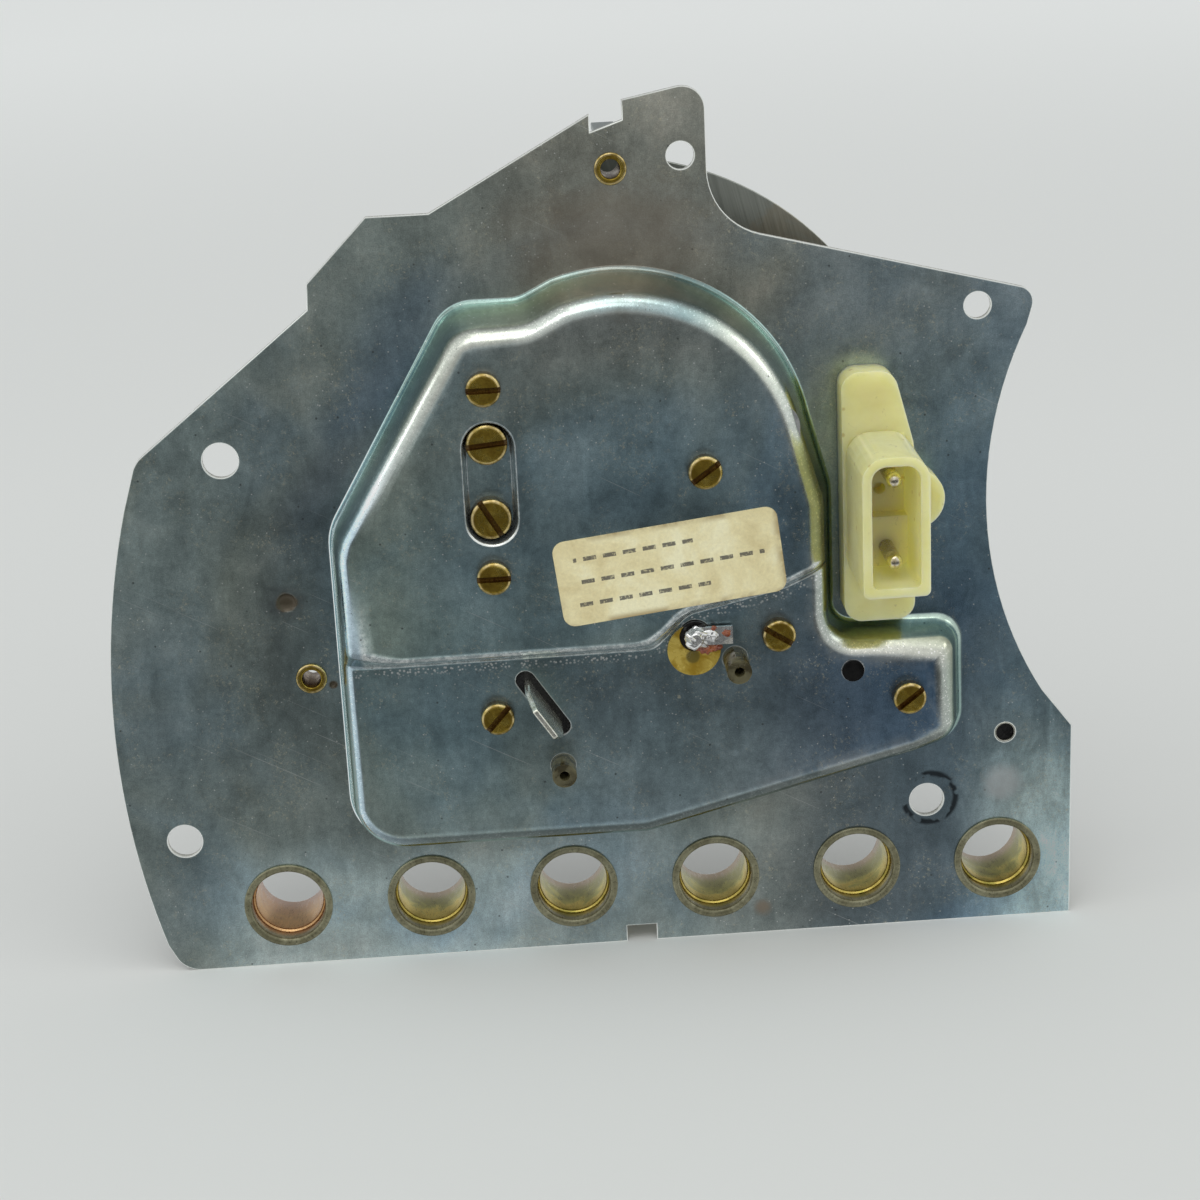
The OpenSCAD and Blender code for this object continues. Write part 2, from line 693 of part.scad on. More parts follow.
module threaded_inserts() {
    collar_t = 0.35;
    color("goldenrod") for (p = [insert_upper_at, insert_lower_at]) difference() {
        union() {
            rod(p, insert_collar_r, -collar_t, 0);
            rod(p, insert_collar_r - 0.4, -eps, sheet_t);
            rod(p, insert_collar_r + 0.5, sheet_t, sheet_t + insert_len);
        }
        rod(p, insert_thread_r, -collar_t - 1, sheet_t + insert_len + 1);
    }
}

// Slotted cheese-head screw whose head stands on the level y, with its shank toward +Y
module cheese_screw(at, y, head_r, head_h, r, len, turn) {
    difference() {
        union() {
            rod(at, head_r, y - head_h, y);
            rod(at, r, y - eps, y + len);
        }
        block(at, 2 * head_r + 1, slot_w, y - head_h - 1, y - head_h + slot_d, turn);
    }
}
module movement_screws() {
    turns = [0, 0, 35];
    color("goldenrod") for (i = [0:2])
        cheese_screw(small_screws[i], upper_y, screw_head_r, screw_head_h, screw_r, screw_len, turns[i]);
}
module pole_screws() {
    turns = [5, -60];
    color("darkgoldenrod") for (i = [0:1])
        cheese_screw(pole_places[i], upper_y + pocket_d, pole_head_r, pole_head_h, pole_screw_r,
            former_y - upper_y - pocket_d - gap, turns[i]);
}
module clock_screws() {
    turns = [48, -33, 38];
    color("goldenrod") for (i = [0:2])
        cheese_screw(clock_places[i], lower_y, screw_head_r, screw_head_h, screw_r, screw_len, turns[i]);
}

module label() {
    corner = 1.6;
    w = label_w / 2;
    h = label_h / 2;
    color("khaki") translate([label_at.x, 0, label_at.y]) rotate([0, -label_turn, 0])
        slab(upper_y - label_t, upper_y)
            polygon(rounded([[-w, -h, corner], [w, -h, corner], [w, h, corner], [-w, h, corner]]));
}

// Connector with a keyed shroud, rounded at the top
shroud_x = pin_at.x - 0.25;
shroud_bottom = pin_at.y - pin_pitch - shroud_end;
shroud_top = pin_at.y + shroud_end;
function shroud_corners(grow) = [
    [shroud_x - shroud_w / 2 - grow, shroud_bottom - grow, 0.8],
    [shroud_x + shroud_w / 2 + grow, shroud_bottom - grow, 0.8],
    [shroud_x + shroud_w / 2 + grow, shroud_top + grow, 3.1 + grow],
    [shroud_x - shroud_w / 2 - grow, shroud_top + grow, 3.1 + grow]];
module connector_housing() {
    foot_left = pin_at.x - 5.1;
    foot_right = foot_left + foot_w;
    split = pin_at.y - pin_pitch / 2 - 1.4;
    color("palegoldenrod") difference() {
        union() {
            slab(-foot_h, 0) polygon(rounded([[foot_left, foot_bottom, 2.4], [foot_right, foot_bottom, 2.4],
                [foot_right, foot_top - 10, 3], [foot_right - 2.6, foot_top, 2.6],
                [foot_left, foot_top, 2.4]]));
            slab(-shroud_h, -foot_h + eps) polygon(rounded(shroud_corners(0)));
            rod([foot_right, window_at.y - 0.3], lug_r, -foot_h, 0);
            block(window_at, window_w - 0.2, window_h - 0.2, -eps, sheet_t);
        }
        difference() {
            slab(-shroud_h - 1, -floor_low) polygon(rounded(shroud_corners(-shroud_wall)));
            block([shroud_x, split - window_h / 2], shroud_w, window_h, -floor_high, 0);
        }
        rod([pin_at.x - 0.4, split + 3.2], 0.8, -floor_low - 1, -floor_low + 3);
        for (p = pin_places) rod(p, shank_r, -floor_high - 1, sheet_t + 1);
    }
}
module connector_pins() {
    dome = 0.8;
    color("silver") for (i = [0:1]) {
        p = pin_places[i];
        rod(p, pin_r, -pin_tip_h + dome, -pin_floors[i]);
        rod(p, shank_r, -pin_floors[i] - eps, board_y + board_t + 1);
        translate([p.x, -pin_tip_h + dome, p.y]) rotate([90, 0, 0])
            cylinder(r1 = pin_r, r2 = pin_r * 0.45, h = dome);
    }
}

// Supply tab in its insulator
module supply_tab() {
    w = tab_w / 2;
    tip = tab_tip_w / 2;
    root = clock_board_y + board_t + 0.4;
    top = lower_y - tab_h;
    color("gainsboro") translate([tab_at.x, 0, tab_at.y]) rotate([0, -tab_turn, 0])
        translate([0, 0, -tab_t / 2]) linear_extrude(tab_t)
            polygon([[-w + 2, root], [-w + 2, lower_in + 2], [-w, lower_in + 2], [-w, top + tab_taper],
                [-tip, top], [tip, top], [w, top + tab_taper], [w, lower_in + 2], [w - 2, lower_in + 2],
                [w - 2, root]]);
}
module tab_insulator() {
    color("black") difference() {
        union() {
            tab_slot(lower_y + 0.3, lower_in, 0);
            block(tab_at, tab_slot_len + 1.2, tab_slot_w + 1.6, lower_in, lower_in + clock_base_t, tab_turn);
        }
        block(tab_at, tab_w, tab_t, lower_y - 1, lower_in + clock_base_t + 1, tab_turn);
    }
}

// Soldered earth terminal
bush_outer_r = terminal_hole_r - 0.1;
washer_y = lower_y - washer_t;
module terminal_washer() {
    color("gold") difference() {
        rod(washer_at, washer_r, washer_y, lower_y);
        rod(terminal_at, bush_outer_r, washer_y - 1, lower_y + 1);
    }
}
module terminal_bush() {
    color("black") tube(terminal_at, bush_outer_r, stud_r, washer_y + 0.2, lower_in + clock_base_t);
}
module solder_tag() {
    tag_y = washer_y - tag_t;
    tag_at = terminal_at + [tag_len / 2 - 0.4, 0.1];
    color("silver") {
        rod(terminal_at, stud_r, washer_y, clock_board_y);
        block(tag_at, tag_len, tag_w, tag_y, washer_y);
        translate([terminal_at.x, tag_y, terminal_at.y]) rotate([90, 0, 0])
            cylinder(r1 = 1.45, r2 = 0.7, h = 0.9);
    }
}

// Dial and its screws
dial_screw_places = [spindle_at - [dial_screw_left, 0], spindle_at + [dial_screw_right, 0]];
hand_bush_r = 3;
module dial() {
    color("darkslategray") difference() {
        rod(dial_at, dial_r, dial_y, dial_face, $fn = 128);
        rod(spindle_at, 2.6, dial_y - 1, dial_face + 1);
        rod(clock_at, hand_bush_r, dial_y - 1, dial_face + 1);
        for (p = dial_screw_places) rod(p, screw_r - 0.2, dial_y - 1, dial_face + 1);
        rod(stop_at, stop_r, dial_y - 1, dial_face + 1);
    }
}
module dial_screws() {
    color("dimgray") for (p = dial_screw_places) difference() {
        union() {
            rod(p, dial_screw_head_r, dial_face, dial_face + dial_screw_head_h);
            rod(p, screw_r - 0.25, dial_y - 4, dial_face + eps);
        }
        block(p, 2 * dial_screw_head_r + 1, 0.5, dial_face + dial_screw_head_h - 0.45,
            dial_face + dial_screw_head_h + 1);
    }
}

// Needle at rest on its stop. Zero lies to the right as seen from behind.
zero_dir = 90 - zero_angle;
stop_r = 0.6;
stop_reach = 19;
tip_half_w = 0.3;
needle_half_at_stop = needle_w / 2 - (needle_w / 2 - tip_half_w) * stop_reach / (needle_len - 1);
stop_side = needle_half_at_stop + stop_r + 0.1;
stop_at = along(along(spindle_at, zero_dir, stop_reach), zero_dir - 90, stop_side);
needle_top = needle_y + 0.7;
hub_r = 1.6;
module needle() {
    w = needle_w / 2;
    tip = tip_half_w;
    color("orangered") translate([spindle_at.x, 0, spindle_at.y]) rotate([0, -zero_dir, 0])
        difference() {
            union() {
                slab(needle_y, needle_top) polygon([[-needle_tail, -w], [0, -w], [needle_len - 1, -tip],
                    [needle_len, 0], [needle_len - 1, tip], [0, w], [-needle_tail, w]]);
                rod([0, 0], hub_r + 1, needle_y, needle_top);
            }
            rod([0, 0], hub_r, needle_y - 1, needle_top + 1);
        }
}
module needle_cap() {
    cap_top = needle_top + 2;
    color("black") difference() {
        union() {
            rod(spindle_at, hub_r, dial_face + 0.3, needle_top + eps);
            rod(spindle_at, cap_r, needle_top, cap_top);
            translate([spindle_at.x, cap_top, spindle_at.y]) rotate([-90, 0, 0])
                cylinder(r1 = cap_r, r2 = cap_r - 0.8, h = 0.6);
        }
        rod(spindle_at, spindle_r, dial_y, needle_top + 1);
    }
}
module needle_stop() {
    color("black") rod(stop_at, stop_r, dial_y, needle_top);
}

// Air-core movement
spindle_rear = base_y + 0.4;
module spindle() {
    color("silver") rod(spindle_at, spindle_r, spindle_rear, needle_top + 1);
}
module magnet_rotor() {
    color("dimgray") tube(spindle_at, rotor_r, spindle_r, chamber_y - rotor_t / 2,
        chamber_y + rotor_t / 2);
}
boss_r = 3;
module movement_base() {
    l = base_left;
    r = base_right;
    h = base_half_h;
    color("lightgray") difference() {
        union() {
            slab(upper_in, base_y) translate([spindle_at.x, spindle_at.y])
                polygon(rounded([[-l + 5, -h, 3], [r - 9, -h, 3], [r, -h + 9, 3], [r, h - 10, 3],
                    [r - 10, h, 3], [-l + 6, h, 3], [-l, h - 12, 3], [-l, -h + 6, 3]]));
            for (p = dial_screw_places) rod(p, 2.5, base_y - eps, dial_y);
            for (p = small_screws) rod(p, boss_r, base_y - eps, base_y + 1.6);
        }
        for (p = small_screws) rod(p, screw_r, upper_in - 1, base_y + 3);
        for (p = dial_screw_places) rod(p, screw_r - 0.25, dial_y - 4, dial_y + 1);
        pocket(upper_in - 1, base_y + 1, sheet_t + 0.15);
        rod(spindle_at, 2, upper_in - 1, base_y + 1);
    }
}

// Coil former in two halves. Its rear flange carries the can and takes the pole screws.
module coil_former_rear() {
    flange_r = can_r + 0.6;
    foot_w = 2 * (pole_screw_r + 2);
    color("whitesmoke") difference() {
        union() {
            rod(spindle_at, flange_r, base_y, former_y);
            block([pole_row_x, spindle_at.y], foot_w, 2 * pole_screw_dz + foot_w, base_y, former_y);
            intersection() {
                pocket(upper_in + pocket_d, base_y, sheet_t);
                block([pole_row_x, spindle_at.y], 20, 40, upper_in + pocket_d, base_y);
            }
            former_half(former_y, chamber_y, 1);
        }
        for (p = pole_places) rod(p, pole_screw_r, upper_in, former_y + 1);
        for (p = small_screws) rod(p, boss_r + gap, base_y - 1, former_y + 1);
        rod(spindle_at, rotor_r + gap, chamber_y - rotor_t / 2 - gap, chamber_y + 1);
        rod(spindle_at, spindle_r + running, spindle_rear - running, chamber_y + 1);
    }
}
module coil_former_front() {
    color("ivory") difference() {
        former_half(chamber_y, chamber_y + former_half_h, -1);
        rod(spindle_at, rotor_r + gap, chamber_y - 1, chamber_y + rotor_t / 2 + gap);
        rod(spindle_at, spindle_r + running, chamber_y - 1, chamber_y + former_half_h + 1);
    }
}
// Chamber body with four corner posts on the rear half
module former_half(y0, y1, rear) {
    w = former_half_w;
    block(spindle_at, 2 * w, 2 * w, max(y0, chamber_y - former_half_h), y1);
    if (rear > 0) for (sx = [-1, 1]) for (sz = [-1, 1])
        block(spindle_at + [sx, sz] * (w - 0.7), 1.4, 1.4, y0, y1);
}
// A coil is wound in two halves, one each side of the spindle
module coil(layer, turn) {
    inner_w = former_half_w + (layer - 1) * coil_t;
    inner_h = former_half_h + (layer - 1) * coil_t;
    half_w = coil_half_w - coil_gap;
    translate([spindle_at.x, chamber_y, spindle_at.y]) rotate([0, turn, 0])
        for (s = [-1, 1]) translate([0, 0, s * (coil_gap + half_w / 2)]) difference() {
            cube([2 * (inner_w + coil_t), 2 * (inner_h + coil_t), half_w], center = true);
            cube([2 * inner_w, 2 * inner_h, half_w + 1], center = true);
        }
}
module inner_coil() {
    color("peru") coil(1, 0);
}
module outer_coil() {
    color("chocolate") coil(2, 90);
}
module shield_can() {
    hole_r = 3;
    color("lightsteelblue") difference() {
        rod(spindle_at, can_r, can_y, can_top);
        rod(spindle_at, can_r - can_wall, can_y - 1, can_top - can_wall);
        rod(spindle_at, hole_r, can_y, can_top + 1);
    }
}
bridge_in = can_top + 2;
module bearing_bridge() {
    foot = 2.4;
    reach = 9;
    color("goldenrod") difference() {
        union() {
            block(spindle_at, 2 * reach, 4, bridge_in, bridge_in + 0.8, 90);
            for (s = [-1, 1])
                block(spindle_at + [0, s * (reach - foot / 2)], 4, foot, can_top, bridge_in + eps);
            rod(spindle_at, 1.8, bridge_in - 0.4, bridge_in + 1.2);
        }
        rod(spindle_at, spindle_r + running, can_top, bridge_in + 2);
    }
}
module hairspring() {
    spring_y = can_top + 0.6;
    inner = spindle_r + 0.9;
    grow = (hairspring_r - inner) / hairspring_turns;
    steps = 24 * hairspring_turns;
    side = [for (i = [0:steps]) along([0, 0], 90 + 360 * i / 24, inner + grow * i / 24)];
    back = [for (i = [steps:-1:0]) along([0, 0], 90 + 360 * i / 24, inner + strip_w + grow * i / 24)];
    color("darkkhaki") translate([spindle_at.x, 0, spindle_at.y]) {
        slab(spring_y, spring_y + 0.6) polygon(concat(side, back));
        difference() {
            rod([0, 0], inner + 0.05, spring_y - 0.2, spring_y + 0.8);
            rod([0, 0], spindle_r + running, spring_y - 1, spring_y + 2);
        }
        block([0, hairspring_r + strip_w + 0.6], 1, 1.3, spring_y - 0.2, can_top + 2);
    }
}

// Circuit board behind the dial
board_corners = [[0.5, 41.6, 1], [76, 41.6, 1], [76, 46, 0.5], [89, 46, 1], [89, 80, 2], [80, 84.5, 2],
    [17, 84.5, 2], [0.5, 60, 3]];
spacer_places = [[4, 45.8], [85.3, 76.5], [19.6, 81]];
module circuit_board() {
    color("saddlebrown") difference() {
        slab(board_y, board_y + board_t) polygon(rounded(board_corners));
        rod(spindle_at, can_r + board_clear, board_y - 1, board_y + board_t + 1);
        for (p = dial_screw_places) rod(p, 2.5 + gap, board_y - 1, board_y + board_t + 1);
        for (p = pin_places) rod(p, shank_r, board_y - 1, board_y + board_t + 1);
        for (p = spacer_places) rod(p, 1.1, board_y - 1, board_y + board_t + 1);
    }
}
module board_spacers() {
    color("tan") for (p = spacer_places) {
        rod(p, 2, sheet_t, board_y);
        rod(p, 1.1, board_y - eps, board_y + board_t + 0.8);
        translate([p.x, board_y + board_t + 0.8, p.y]) rotate([-90, 0, 0])
            cylinder(r1 = 1.5, r2 = 0.9, h = 0.7);
        rod(p, 1.5, board_y + board_t, board_y + board_t + 0.8 + eps);
    }
}
module control_chip() {
    legs = 8;
    leg_pitch = chip_w * 0.12;
    color("black") {
        block(chip_at, chip_w, chip_d, board_y - 0.5 - chip_h, board_y - 0.5);
        for (s = [-1, 1]) for (i = [0:legs - 1])
            block(chip_at + [(i - (legs - 1) / 2) * leg_pitch, s * (chip_d / 2 + 0.3)], 0.5, 0.6,
                board_y - chip_h / 2, board_y);
    }
}
module electrolytic_capacitor() {
    color("navy") translate([electro_at.x, board_y - electro_r, electro_at.y])
        cylinder(r = electro_r, h = electro_len, center = true);
}
module film_capacitors() {
    color("firebrick") for (i = [0:1])
        block(film_at + [0, i * film_pitch], film_w, film_size[1], board_y - film_size[0], board_y);
}
module resistors() {
    color("tan") for (i = [0:resistor_count - 1])
        translate([resistors_at.x + i * resistor_pitch, board_y - resistor_r, resistors_at.y])
            cylinder(r = resistor_r, h = resistor_len, center = true);
}
module trimmer() {
    body_y = board_y - trimmer_w * 0.45;
    color("royalblue") difference() {
        union() {
            block(trimmer_at, trimmer_w, trimmer_w, body_y, board_y);
            rod(trimmer_at, trimmer_w * 0.36, body_y - 0.8, body_y + eps);
        }
        block(trimmer_at, trimmer_w * 0.6, 0.6, body_y - 2, body_y - 0.3, 30);
    }
}

// Clock behind the lower part of the dial
clock_base_y = lower_in + clock_base_t;
clock_base_corners = [[16, 13, 4], [50.5, 13, 3], [85.5, 22, 4], [90.6, 24.4, 2], [90.6, 33, 2],
    [73.6, 33, 1.5], [73.6, 42.6, 2], [64.5, 42.6, 2], [60.5, 40, 1.5], [16, 40, 3]];
clock_board_corners = [[18, 14, 1], [50, 14, 1], [74, 20.5, 1], [74, 40, 1], [18, 40, 1]];
module clock_base() {
    boss_r = 2.9;
    color("whitesmoke") difference() {
        union() {
            slab(lower_in, clock_base_y) polygon(rounded(clock_base_corners));
            for (p = clock_places) rod(p, boss_r, clock_base_y - eps, clock_board_y);
            rod(peg_a, peg_r, lower_y - peg_a_h, lower_in + eps);
            rod(peg_b, peg_r, lower_y - peg_b_h, lower_in + eps);
        }
        for (p = clock_places) rod(p, screw_r, lower_in - 1, clock_board_y + 1);
        rod(peg_a, peg_bore_r, lower_y - peg_a_h - 1, lower_in + 1);
        rod(peg_b, peg_bore_r, lower_y - peg_b_h - 1, lower_in + 1);
        rod(terminal_at, terminal_hole_r + gap, lower_in - 1, clock_base_y + 1);
        rod(idler_at, pin_body_r, lower_in - 1, clock_base_y + 1);
        block(tab_at, tab_slot_len + 1.2, tab_slot_w + 1.6, lower_in - 1, clock_base_y + 1, tab_turn);
        block(coil_at, stepper_coil_len + 4, 5.6, lower_in - 1, clock_base_y + 1);
    }
}
module clock_board() {
    color("darkolivegreen") difference() {
        slab(clock_board_y, clock_board_y + board_t) polygon(rounded(clock_board_corners));
        block(tab_at, tab_w - 4, tab_t, clock_board_y - 1, clock_board_y + board_t + 1, tab_turn);
        rod(stepper_at, 1, clock_board_y - 1, clock_board_y + board_t + 1);
        rod(train_at, 0.4 + running, clock_board_y - 1, clock_board_y + board_t + 1);
        rod(clock_at, post_r, clock_board_y - 1, clock_board_y + board_t + 1);
    }
}
module quartz_can() {
    color("silver") translate([quartz_at.x, clock_board_y - quartz_r, quartz_at.y]) rotate([0, 90, 0])
        cylinder(r = quartz_r, h = quartz_len, center = true);
}
module clock_chip() {
    color("black") block(clock_chip_at, clock_chip_size[0], clock_chip_size[1], clock_board_y - 2.2,
        clock_board_y);
}
stator_y = clock_board_y - 1.9;
coil_at = stepper_at + [stepper_coil_len / 2 + 9.5, -0.6];
coil_y = stator_y - 0.5;
module stepper_coil() {
    color("chocolate") translate([coil_at.x, coil_y, coil_at.y]) rotate([0, 90, 0]) difference() {
        union() {
            cylinder(r = stepper_coil_r, h = stepper_coil_len, center = true);
            for (s = [-1, 1]) translate([0, 0, s * stepper_coil_len / 2])
                cylinder(r = stepper_coil_r + 0.3, h = 0.8, center = true);
        }
        cube([0.9, 1.1, 20], center = true);
    }
}
module stepper_stator() {
    far = coil_at.x + stepper_coil_len / 2 + 1.5;
    color("slategray") {
        difference() {
            block(stepper_at, 9, 7, stator_y, stator_y + 1);
            rod(stepper_at, stepper_rotor_r + gap, stator_y - 1, stator_y + 2);
        }
        block([(stepper_at.x + 4 + far) / 2, coil_at.y], far - stepper_at.x - 4, 0.9, coil_y - 0.55,
            coil_y + 0.55);
        block([(stepper_at.x + 4 + far) / 2, stepper_at.y + 2.7], far - stepper_at.x - 4, 1.4, stator_y,
            stator_y + 1);
        block([far, stepper_at.y + 1.15], 1.4, 4.5, coil_y - 0.55, stator_y + 1);
    }
}
stepper_rotor_r = 2.2;
rotor_pinion_y = drive_y + drive_step;
module stepper_rotor() {
    color("dimgray") {
        rod(stepper_at, stepper_rotor_r, stator_y - 0.3, stator_y + 1.3);
        rod(stepper_at, 0.6, stator_y - 1, rotor_pinion_y + eps);
        gear(stepper_at, rotor_pinion_n, drive_module, stepper_phase, rotor_pinion_y, 0);
        rod(stepper_at, 0.4, rotor_pinion_y + gear_t - eps, bridge_y + bridge_t);
    }
}
module train_wheel() {
    color("gold") {
        gear(train_at, train_pinion_n, drive_module, train_phase, drive_y, 0);
        rod(train_at, 0.9, drive_y + gear_t - eps, rotor_pinion_y + eps);
        gear(train_at, train_n, drive_module, 0, rotor_pinion_y, 0);
        rod(train_at, 0.4, clock_board_y, drive_y + eps);
        rod(train_at, 0.4, rotor_pinion_y + gear_t - eps, bridge_y + bridge_t);
    }
}
// Arbors nest on the fixed centre post: centre wheel, cannon pinion, hour tube, dial bush
post_r = 0.6;
centre_r = post_r + running + 0.3;
cannon_r = centre_r + running + 0.35;
hour_r = cannon_r + running + 0.4;
module centre_wheel() {
    color("gold") difference() {
        union() {
            gear(clock_at, centre_n, drive_module, 0, drive_y, 0);
            rod(clock_at, centre_r + 0.6, drive_y + gear_t - eps, bridge_y - 0.2);
            rod(clock_at, centre_r, drive_y, hour_y);
        }
        rod(clock_at, post_r + running, drive_y - 1, hour_y + 1);
    }
}
bridge_post_places = [bridge_low + [3, 25.4], bridge_low + [3, 7.4], bridge_high - [2.7, 2.5]];
module clock_bridge() {
    color("ivory") difference() {
        union() {
            slab(bridge_y, bridge_y + bridge_t) polygon(rounded([[bridge_low.x, bridge_low.y, 2],
                [bridge_high.x - 2.8, bridge_low.y, 4], [bridge_high.x, bridge_low.y + 11.4, 3],
                [bridge_high.x, bridge_high.y, 2], [bridge_low.x, bridge_high.y, 2]]));
            for (p = bridge_post_places) rod(p, 1.6, clock_board_y + board_t, bridge_y + eps);
            rod(motion_at, post_r, bridge_y, hour_y + gear_t + 0.6);
        }
        for (p = [stepper_at, train_at]) rod(p, 0.4 + running, bridge_y - 1, bridge_y + bridge_t + 1);
        rod(clock_at, centre_r + running, bridge_y - 1, bridge_y + bridge_t + 1);
    }
}
module centre_post() {
    color("silver") rod(clock_at, post_r, clock_board_y, minute_hand_y + hand_t + 0.5);
}
module cannon_pinion() {
    color("silver") difference() {
        union() {
            gear(clock_at, cannon_n, setting_module, 0, setting_y, 0);
            rod(clock_at, cannon_r, setting_y + gear_t - eps, minute_hand_y + hand_t);
        }
        rod(clock_at, centre_r + running, setting_y - 1, hour_y + 0.1);
        rod(clock_at, post_r + running, hour_y, minute_hand_y + hand_t + 1);
    }
}
module motion_wheel() {
    color("ivory") {
        gear(motion_at, motion_n, setting_module, motion_phase, setting_y, post_r + running);
        gear(motion_at, motion_pinion_n, hour_m, 0, hour_y, post_r + running);
        tube(motion_at, 1.5, post_r + running, setting_y + gear_t - eps, hour_y + eps);
    }
}
module hand_bush() {
    color("goldenrod") difference() {
        union() {
            rod(clock_at, hand_bush_r, dial_y - 1.6, dial_face);
            rod(clock_at, hand_bush_r + 0.8, dial_y - 1.6, dial_y);
        }
        rod(clock_at, hour_r + running, dial_y - 2, dial_face + 1);
    }
}
module hour_wheel() {
    color("ivory") difference() {
        union() {
            gear(clock_at, hour_n, hour_m, hour_phase, hour_y, 0);
            rod(clock_at, hour_r, hour_y + gear_t - eps, hour_hand_y + hand_t);
        }
        rod(clock_at, cannon_r + running, hour_y - 1, hour_hand_y + hand_t + 1);
    }
}
// A clock hand that points along the angle turn, pressed on a tube
module hand(y, len, w, bore, turn) {
    color("white") translate([clock_at.x, 0, clock_at.y]) rotate([0, -turn, 0]) difference() {
        union() {
            slab(y, y + hand_t) polygon([[-w * 2.5, -w * 0.8], [0, -w], [len - 0.8, -w * 0.4], [len, 0],
                [len - 0.8, w * 0.4], [0, w], [-w * 2.5, w * 0.8]]);
            rod([0, 0], bore + 0.8, y, y + hand_t);
        }
        rod([0, 0], bore, y - 1, y + hand_t + 1);
    }
}
module hour_hand() { hand(hour_hand_y, hour_hand_len, 1.1, hour_r, 30); }
module minute_hand() { hand(minute_hand_y, minute_hand_len, 0.9, cannon_r, 90); }
// Setting knob and the idler that joins it to the clock
pin_body_r = 1.5;
idler_pin_r = 1.1;
bush_r = knob_shaft_r + 0.25;
bush_len = 4.5;
module idler_pin() {
    color("black") {
        rod(idler_at, pin_body_r, lower_y - 0.3, setting_y - 0.5);
        rod(idler_at, idler_pin_r, setting_y - 0.5 - eps, setting_y + gear_t + 0.6);
    }
}
module idler_gear() {
    color("ivory") difference() {
        union() {
            gear(idler_at, idler_n, setting_module, idler_phase, setting_y, 0);
            rod(idler_at, 3, setting_y - 0.2, setting_y + gear_t + 0.2);
        }
        rod(idler_at, idler_pin_r + running, setting_y - 1, setting_y + gear_t + 1);
        for (i = [0:4]) rod(along(idler_at, 72 * i, 11), 4.6, setting_y - 1, setting_y + gear_t + 1);
    }
}
module knob_bush() {
    color("gainsboro") difference() {
        union() {
            rod(knob_place, bush_r, 0, sheet_t + eps);
            rod(knob_place, bush_r + 1, sheet_t, sheet_t + bush_len);
        }
        rod(knob_place, knob_shaft_r + running, -1, sheet_t + bush_len + 1);
    }
}
knob_y = dial_face + knob_reach;
module setting_knob() {
    color("black") {
        rod(knob_place, knob_shaft_r, 0.4, knob_y + eps);
        gear(knob_place, knob_n, setting_module, knob_phase, setting_y, 0);
        difference() {
            rod(knob_place, knob_r, knob_y, knob_y + knob_len);
            for (i = [0:flutes - 1]) rod(along(knob_place, 360 * i / flutes, knob_r + 0.2), 0.5,
                knob_y + 1, knob_y + knob_len + 1, $fn = 24);
        }
    }
}

rear_plate();
lamp_tubes();
threaded_inserts();
movement_screws();
pole_screws();
clock_screws();
label();
connector_housing();
connector_pins();
supply_tab();
tab_insulator();
terminal_washer();
terminal_bush();
solder_tag();
dial();
dial_screws();
needle();
needle_cap();
needle_stop();
spindle();
magnet_rotor();
movement_base();
coil_former_rear();
coil_former_front();
inner_coil();
outer_coil();
shield_can();
bearing_bridge();
hairspring();
circuit_board();
board_spacers();
control_chip();
electrolytic_capacitor();
film_capacitors();
resistors();
trimmer();
clock_base();
clock_board();
quartz_can();
clock_chip();
stepper_coil();
stepper_stator();
stepper_rotor();
train_wheel();
centre_wheel();
clock_bridge();
centre_post();
hand_bush();
motion_wheel();
cannon_pinion();
hour_wheel();
minute_hand();
hour_hand();
idler_gear();
idler_pin();
knob_bush();
setting_knob();
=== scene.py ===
"""Tachometer module on its stamped carrier plate, seen from behind as in the photograph.

The helper calls take millimetres in the CAD frame: +X right, +Y from the rear toward the dial, +Z up.
"""
import math

import bpy
import numpy as np
from mathutils import Matrix, Vector, noise as field
from mathutils.geometry import delaunay_2d_cdt


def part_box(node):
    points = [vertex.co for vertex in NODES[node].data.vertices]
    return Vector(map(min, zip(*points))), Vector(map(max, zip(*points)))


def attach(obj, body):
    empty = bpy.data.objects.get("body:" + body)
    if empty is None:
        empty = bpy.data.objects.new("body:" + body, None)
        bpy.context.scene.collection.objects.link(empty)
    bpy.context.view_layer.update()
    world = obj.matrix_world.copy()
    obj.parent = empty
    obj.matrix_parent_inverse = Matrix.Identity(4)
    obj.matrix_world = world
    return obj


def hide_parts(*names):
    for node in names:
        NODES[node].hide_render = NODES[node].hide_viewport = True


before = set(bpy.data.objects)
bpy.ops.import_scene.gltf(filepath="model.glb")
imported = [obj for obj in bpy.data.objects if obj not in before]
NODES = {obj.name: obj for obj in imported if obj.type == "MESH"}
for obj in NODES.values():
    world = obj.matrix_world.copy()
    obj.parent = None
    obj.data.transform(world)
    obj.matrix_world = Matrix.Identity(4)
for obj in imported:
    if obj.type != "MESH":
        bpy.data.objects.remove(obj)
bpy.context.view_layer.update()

MM = 0.001
scene = bpy.context.scene


def new_object(name, data):
    piece = bpy.data.objects.new(name, data)
    scene.collection.objects.link(piece)
    return piece


# Short calls for nodes

SOCKETS = {"metallic": "Metallic", "ior": "IOR", "coat": "Coat Weight", "coat_rough": "Coat Roughness",
    "sss": "Subsurface Weight", "sss_scale": "Subsurface Scale", "sss_radius": "Subsurface Radius",
    "specular": "Specular IOR Level", "transmission": "Transmission Weight"}


def rgba(colour):
    """A colour or a grey level, with its alpha."""
    return (*colour, 1) if isinstance(colour, tuple) else (colour, colour, colour, 1)


